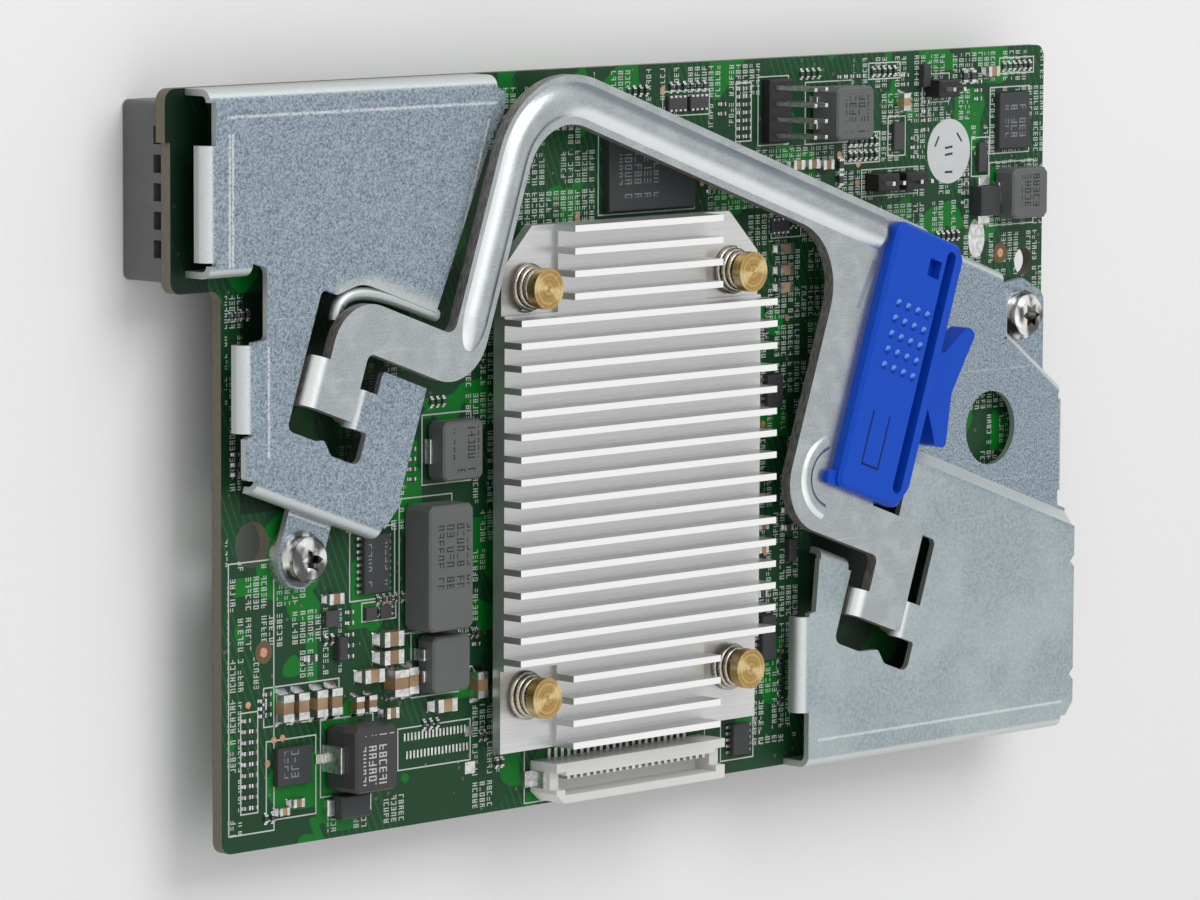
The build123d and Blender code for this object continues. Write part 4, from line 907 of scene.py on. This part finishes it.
class CARD_OT_legend(bpy.types.Operator):
    """Print the outlines of the legend as thin raised ink."""

    bl_idname = "card.legend"
    bl_label = "Legend outlines"

    def execute(self, context):
        line = context.scene.card_board.line
        pieces = []
        for left, low, right, high in OUTLINES:
            select_only()
            middle = place((left + right) / 2, (low + high) / 2, 0.012)
            bpy.ops.mesh.primitive_plane_add(size=1.0, location=middle)
            context.object.scale = ((right - left) * MM, (high - low) * MM, 1.0)
            made = settle()
            open_mesh(made)
            bpy.ops.mesh.inset(thickness=line)
            bpy.ops.mesh.delete(type="FACE")
            bpy.ops.mesh.select_all(action="SELECT")
            bpy.ops.mesh.extrude_region_move(TRANSFORM_OT_translate={"value": (0, 0, 0.02 * MM)})
            close_mesh()
            coat(made, "legend_white")
            pieces.append(made)
        join(pieces, "legend_outlines")
        return {"FINISHED"}


def disc(x, y, radius, height, vertices=32):
    """A short cylinder primitive standing on the board."""
    select_only()
    sizes = {"radius": radius * MM, "depth": height * MM}
    bpy.ops.mesh.primitive_cylinder_add(vertices=vertices, location=place(x, y, height / 2), **sizes)
    return settle()


def ring(x, y, radius, hole, height, vertices=32):
    """A flat ring on the board, made by a hole through a disc."""
    made = disc(x, y, radius, height, vertices=vertices)
    bpy.ops.object.mode_set(mode="EDIT")
    bpy.ops.mesh.select_all(action="DESELECT")
    bpy.ops.object.mode_set(mode="OBJECT")
    for face in made.data.polygons:
        face.select = abs(face.normal.z) > 0.9
    bpy.ops.object.mode_set(mode="EDIT")
    bpy.ops.mesh.inset(thickness=(radius - hole) * MM)
    bpy.ops.mesh.bridge_edge_loops()
    close_mesh()
    return made


COPPER_SPOTS = [
    (4.2, 17.4), (8.3, 12.8), (9.7, 12.9), (7.3, 10.1), (26.9, 27.7), (74.3, 87.0), (107.0, 77.5),
    (110.6, 76.1), (110.5, 73.7), (81.5, 75.1), (127.9, 62.9), (93.0, 44.0), (91.4, 20.4), (93.6, 27.6),
    (97.4, 57.2), (46.6, 84.6), (59.2, 72.0), (34.6, 26.4), (103.0, 67.0), (118.4, 64.6),
]


class CARD_OT_board_marks(bpy.types.Operator):
    """Add the bare pads, targets, rings, round label and oval pad of the board."""

    bl_idname = "card.board_marks"
    bl_label = "Pads and marks"

    def execute(self, context):
        pads = []
        for x, y, length, width in [
            (40.7, 10.4, 1.3, 1.2), (40.9, 5.9, 1.7, 1.5), (18.3, 3.6, 1.6, 1.4),
        ]:
            pad = block((x, y, 0.03), (length, width, 0.06))
            bevel_all(pad, 0.02)
            coat(pad, "tin")
            pads.append(pad)
        tooth = block((0, 0, 0.05), (0.28, 1.0, 0.1))
        bevel_all(tooth, 0.04)
        coat(tooth, "tin")
        rows = line_up(29.8, 10.8, 18, 0.6, turn=0.0) + line_up(30.2, 8.6, 18, 0.6, turn=0.0)
        pads.append(spread(tooth, rows, "row_pads"))
        join(pads, "bare_pads")
        targets = []
        for x, y, bare in ((6.7, 23.4, 1.35), (138.6, 63.2, 1.35), *((*spot, 0.0) for spot in COPPER_SPOTS)):
            if bare:
                clear = disc(x, y, bare, 0.025)
                coat(clear, "bare_laminate")
                targets.append(clear)
            target = disc(x, y, 0.58 if bare else 0.42, 0.04)
            coat(target, "copper")
            targets.append(target)
        plated = ring(143.3, 61.85, 2.45, 1.8, 0.05, 48)
        coat(plated, "tin")
        targets.append(plated)
        join(targets, "targets")
        label = disc(*LABEL, 4.2, 0.09, vertices=64)
        coat(label, "label_white")
        join([label], "round_label")
        marks = [ring(*LABEL, 3.7, 3.55, 0.105, 48)]
        dash = block((0, 0, 0.05), (1.5, 0.3, 0.11))
        bevel_all(dash, 0.01)
        coat(dash, "package_black")
        around = [
            (LABEL.x + 2.7 * math.cos(a), LABEL.y + 2.7 * math.sin(a), a + UP)
            for a in (math.radians(40), math.radians(150), math.radians(270))
        ]
        around += [(LABEL.x, LABEL.y + 0.5, 0.1), (LABEL.x, LABEL.y - 0.4, 0.1)]
        coat(marks[0], "package_black")
        marks.append(spread(dash, around, "label_dashes"))
        join(marks, "label_marks")
        oval = disc(0, 0, 2.6, 0.04, vertices=48)
        narrow = Matrix.Diagonal((0.62, 1.0, 1.0, 1.0)) @ Matrix.Translation(-place(0, 0))
        oval.data.transform(Matrix.Translation(place(133.8, 65.4)) @ narrow)
        coat(oval, "tin")
        join([oval], "oval_pad")
        return {"FINISHED"}


class CARD_OT_latch_dots(bpy.types.Operator):
    """Raise the grip dots on the latch."""

    bl_idname = "card.latch_dots"
    bl_label = "Latch dots"

    def execute(self, context):
        rows, columns, row_pitch, column_pitch = 5, 4, 2.05, 1.93
        first_along, first_across = 90.8, 29.1
        select_only()
        here = place(0, 0, DOT_BASE)
        bpy.ops.mesh.primitive_uv_sphere_add(segments=16, ring_count=10, radius=0.55 * MM, location=here)
        dot = settle()
        cap(dot, DOT_BASE, 0.62)
        coat(dot, "latch_blue")
        spots = [
            (*lever_spot(first_along + column * column_pitch, first_across + row * row_pitch), LEVER_TILT)
            for row in range(rows) for column in range(columns)
        ]
        spread(dot, spots, "latch_dots", "lever")
        return {"FINISHED"}


class CARD_OT_springs(bpy.types.Operator):
    """Wind the four conical springs that press the heat sink down."""

    bl_idname = "card.springs"
    bl_label = "Conical springs"

    def execute(self, context):
        wire, base, top, turns, length = 0.25, 2.85, 2.05, 3, 2.1
        here = place(0, 0, SPRING_FLOOR + wire + 0.05)
        select_only()
        start = (base * MM, 0, 0)
        bpy.ops.mesh.primitive_circle_add(vertices=12, radius=wire * MM, location=start, rotation=(UP, 0, 0))
        coil = settle()
        wind = coil.modifiers.new("wind", "SCREW")
        wind.screw_offset = length / turns * MM
        wind.iterations = turns
        wind.steps = wind.render_steps = 36
        bpy.ops.object.modifier_apply(modifier=wind.name)
        bpy.ops.object.mode_set(mode="EDIT")
        bpy.ops.mesh.select_all(action="DESELECT")
        bpy.ops.mesh.select_non_manifold()
        bpy.ops.mesh.fill_holes(sides=0)
        close_mesh()
        for vertex in coil.data.vertices:
            radius = math.hypot(vertex.co.x, vertex.co.y)
            narrow = 1.0 - (base - top) * vertex.co.z / length / radius
            vertex.co.x *= narrow
            vertex.co.y *= narrow
            vertex.co += here
        bpy.ops.object.shade_smooth()
        coat(coil, "spring_steel")
        spots = [
            (x, y, math.radians(angle))
            for x, y, angle in (
                (SCREW_LOW.x, SCREW_LOW.y, 20), (SCREW_HIGH.x, SCREW_LOW.y, 140),
                (SCREW_LOW.x, SCREW_HIGH.y, 250), (SCREW_HIGH.x, SCREW_HIGH.y, 75),
            )
        ]
        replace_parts(spread(coil, spots, "conical_springs"), "screw_springs")
        return {"FINISHED"}


class CARD_OT_rib_ends(bpy.types.Operator):
    """Round off both ends of the rib that is pressed into the lever."""

    bl_idname = "card.rib_ends"
    bl_label = "Rib ends"

    def execute(self, context):
        domes = []
        share, tall = 0.55, 1.9
        widen = 1.0 / math.sqrt(1.0 - share * share)
        for along, across, half_along, half_across in ((20.0, 15.3, 2.1, 4.4), (86.2, 45.1, 2.0, 2.1)):
            select_only()
            here = place(*lever_spot(along, across), LEVER_TOP)
            sunk = here - Vector((0, 0, share * tall * MM))
            bpy.ops.mesh.primitive_uv_sphere_add(segments=32, ring_count=24, radius=1.0 * MM, location=sunk)
            dome = context.object
            dome.scale = (half_along * widen, half_across * widen, tall)
            dome.rotation_euler = (0, 0, LEVER_TILT)
            settle()
            cap(dome, LEVER_TOP)
            coat(dome, "lever_steel")
            domes.append(dome)
        join(domes, "rib_ends", "lever")
        return {"FINISHED"}


class CARD_OT_rolled_lip(bpy.types.Operator):
    """Roll the edge of the left bracket's opening above the lever's arm."""

    bl_idname = "card.rolled_lip"
    bl_label = "Rolled lip"

    def execute(self, context):
        radius = 0.8
        path = ((15.9, 14.1), (9.0, 14.0), (3.6, 14.3), (-1.2, 12.6), (0.2, 9.2))
        lip = rod([(*lever_spot(*spot), PLATE_TOP - radius - 0.03) for spot in path], radius)
        coat(lip, "zinc_sheet")
        join([lip], "rolled_lip")
        return {"FINISHED"}


class CARD_OT_pressed_ridge(bpy.types.Operator):
    """Raise the curved ridge that is pressed into the lever round the foot of its latch."""

    bl_idname = "card.pressed_ridge"
    bl_label = "Pressed ridge"

    def execute(self, context):
        along, across, radius = 86.4, 13.0, 4.4
        path = []
        for step in range(5):
            turn = math.radians(100 + 47.5 * step)
            spot = lever_spot(along + radius * math.cos(turn), across + radius * math.sin(turn))
            path.append((*spot, LEVER_TOP))
        ridge = rod(path, 1.0)
        cap(ridge, LEVER_TOP, 0.38)
        coat(ridge, "lever_steel")
        join([ridge], "pressed_ridge", "lever")
        return {"FINISHED"}


# The camera's right, down and ahead, its place in board millimetres, and its lens
CAMERA_ROWS = (
    (0.69588058, 0.00414956, 0.71814553),
    (-0.07652689, -0.99386121, 0.07989698),
    (0.71406852, -0.1105562, -0.69129116),
)
CAMERA_SPOT = (-521.937, 133.607, 566.675)
CAMERA_LENS = 199.45


class CARD_OT_stage(bpy.types.Operator):
    """Set the floor, the lamps, the surroundings and the camera."""

    bl_idname = "card.stage"
    bl_label = "Studio stage"

    def execute(self, context):
        look = context.scene.card_stage
        select_only()
        bpy.ops.mesh.primitive_plane_add(size=6.0, location=(0, 0, -0.0002))
        floor = context.object
        floor.name = "floor"
        paint = Paint("floor_card", look.floor, roughness=0.9)
        where = paint.node("ShaderNodeTexCoord", {}, {}, 3)
        cloud = paint.noise(where, 40.0, 2.0)
        tone = paint.mix(cloud * 0.02, look.floor, (0.88, 0.88, 0.88))
        paint.feed({"Base Color": tone})
        floor.data.materials.append(paint.material)
        for name, power, size, spot in (
            ("key", look.key, 0.45, (0.05, 0.42, 0.55)),
            ("fill", look.key * 0.3, 0.7, (-0.30, -0.35, 0.60)),
        ):
            lamp = bpy.data.lights.new(name, "AREA")
            lamp.energy = power
            lamp.size = size
            held = bpy.data.objects.new(name, lamp)
            context.collection.objects.link(held)
            held.location = spot
            held.rotation_euler = (-Vector(spot)).to_track_quat("-Z", "Y").to_euler()
        world = bpy.data.worlds.new("studio")
        context.scene.world = world
        world.use_nodes = True
        tree = world.node_tree
        back = tree.nodes["Background"]
        path = tree.nodes.new("ShaderNodeLightPath")
        seen = path.outputs["Is Camera Ray"]
        for ray in ("Is Glossy Ray", "Is Transmission Ray"):
            either = tree.nodes.new("ShaderNodeMath")
            either.operation = "MAXIMUM"
            tree.links.new(seen, either.inputs[0])
            tree.links.new(path.outputs[ray], either.inputs[1])
            seen = either.outputs[0]
        level = tree.nodes.new("ShaderNodeMapRange")
        tree.links.new(seen, level.inputs[0])
        level.inputs[3].default_value = look.ambient
        level.inputs[4].default_value = 1.0
        tree.links.new(level.outputs[0], back.inputs[1])
        back.inputs[0].default_value = (1.0, 1.0, 1.0, 1.0)
        lens = bpy.data.cameras.new("camera")
        lens.lens = CAMERA_LENS
        lens.sensor_width = 36.0
        lens.sensor_fit = "HORIZONTAL"
        lens.clip_end = 20.0
        camera = bpy.data.objects.new("camera", lens)
        context.collection.objects.link(camera)
        right, down, ahead = (Vector(row) for row in CAMERA_ROWS)
        turn = Matrix((right, -down, -ahead)).transposed()
        camera.matrix_world = Matrix.Translation(place(*CAMERA_SPOT)) @ turn.to_4x4()
        context.scene.camera = camera
        context.scene.view_settings.view_transform = "Standard"
        return {"FINISHED"}


OPERATORS = [
    CARD_OT_finish_nodes, CARD_OT_solder, CARD_OT_chip_parts, CARD_OT_legend, CARD_OT_board_marks,
    CARD_OT_latch_dots, CARD_OT_springs, CARD_OT_rib_ends, CARD_OT_rolled_lip, CARD_OT_pressed_ridge,
    CARD_OT_stage,
]


class CARD_PT_panel(bpy.types.Panel):
    """Sidebar panel with the card's looks and steps."""

    bl_label = "Adapter Card"
    bl_idname = "CARD_PT_panel"
    bl_space_type = "VIEW_3D"
    bl_region_type = "UI"
    bl_category = "Adapter Card"

    def draw(self, context):
        for group in LOOKS:
            for name in LOOKS[group].__annotations__:
                self.layout.prop(getattr(context.scene, group), name)
        for operator in OPERATORS:
            self.layout.operator(operator.bl_idname)


CLASSES = [*LOOKS.values(), *OPERATORS, CARD_PT_panel]


def register():
    for kind in CLASSES:
        bpy.utils.register_class(kind)
    for name, look in LOOKS.items():
        setattr(bpy.types.Scene, name, PointerProperty(type=look))


def unregister():
    for name in LOOKS:
        delattr(bpy.types.Scene, name)
    for kind in reversed(CLASSES):
        bpy.utils.unregister_class(kind)


def main():
    register()
    bpy.ops.card.finish_nodes()
    bpy.ops.card.solder()
    bpy.ops.card.chip_parts()
    bpy.ops.card.legend()
    bpy.ops.card.board_marks()
    bpy.ops.card.latch_dots()
    bpy.ops.card.springs()
    bpy.ops.card.rib_ends()
    bpy.ops.card.rolled_lip()
    bpy.ops.card.pressed_ridge()
    bpy.ops.card.stage()


if __name__ == "__main__":
    main()
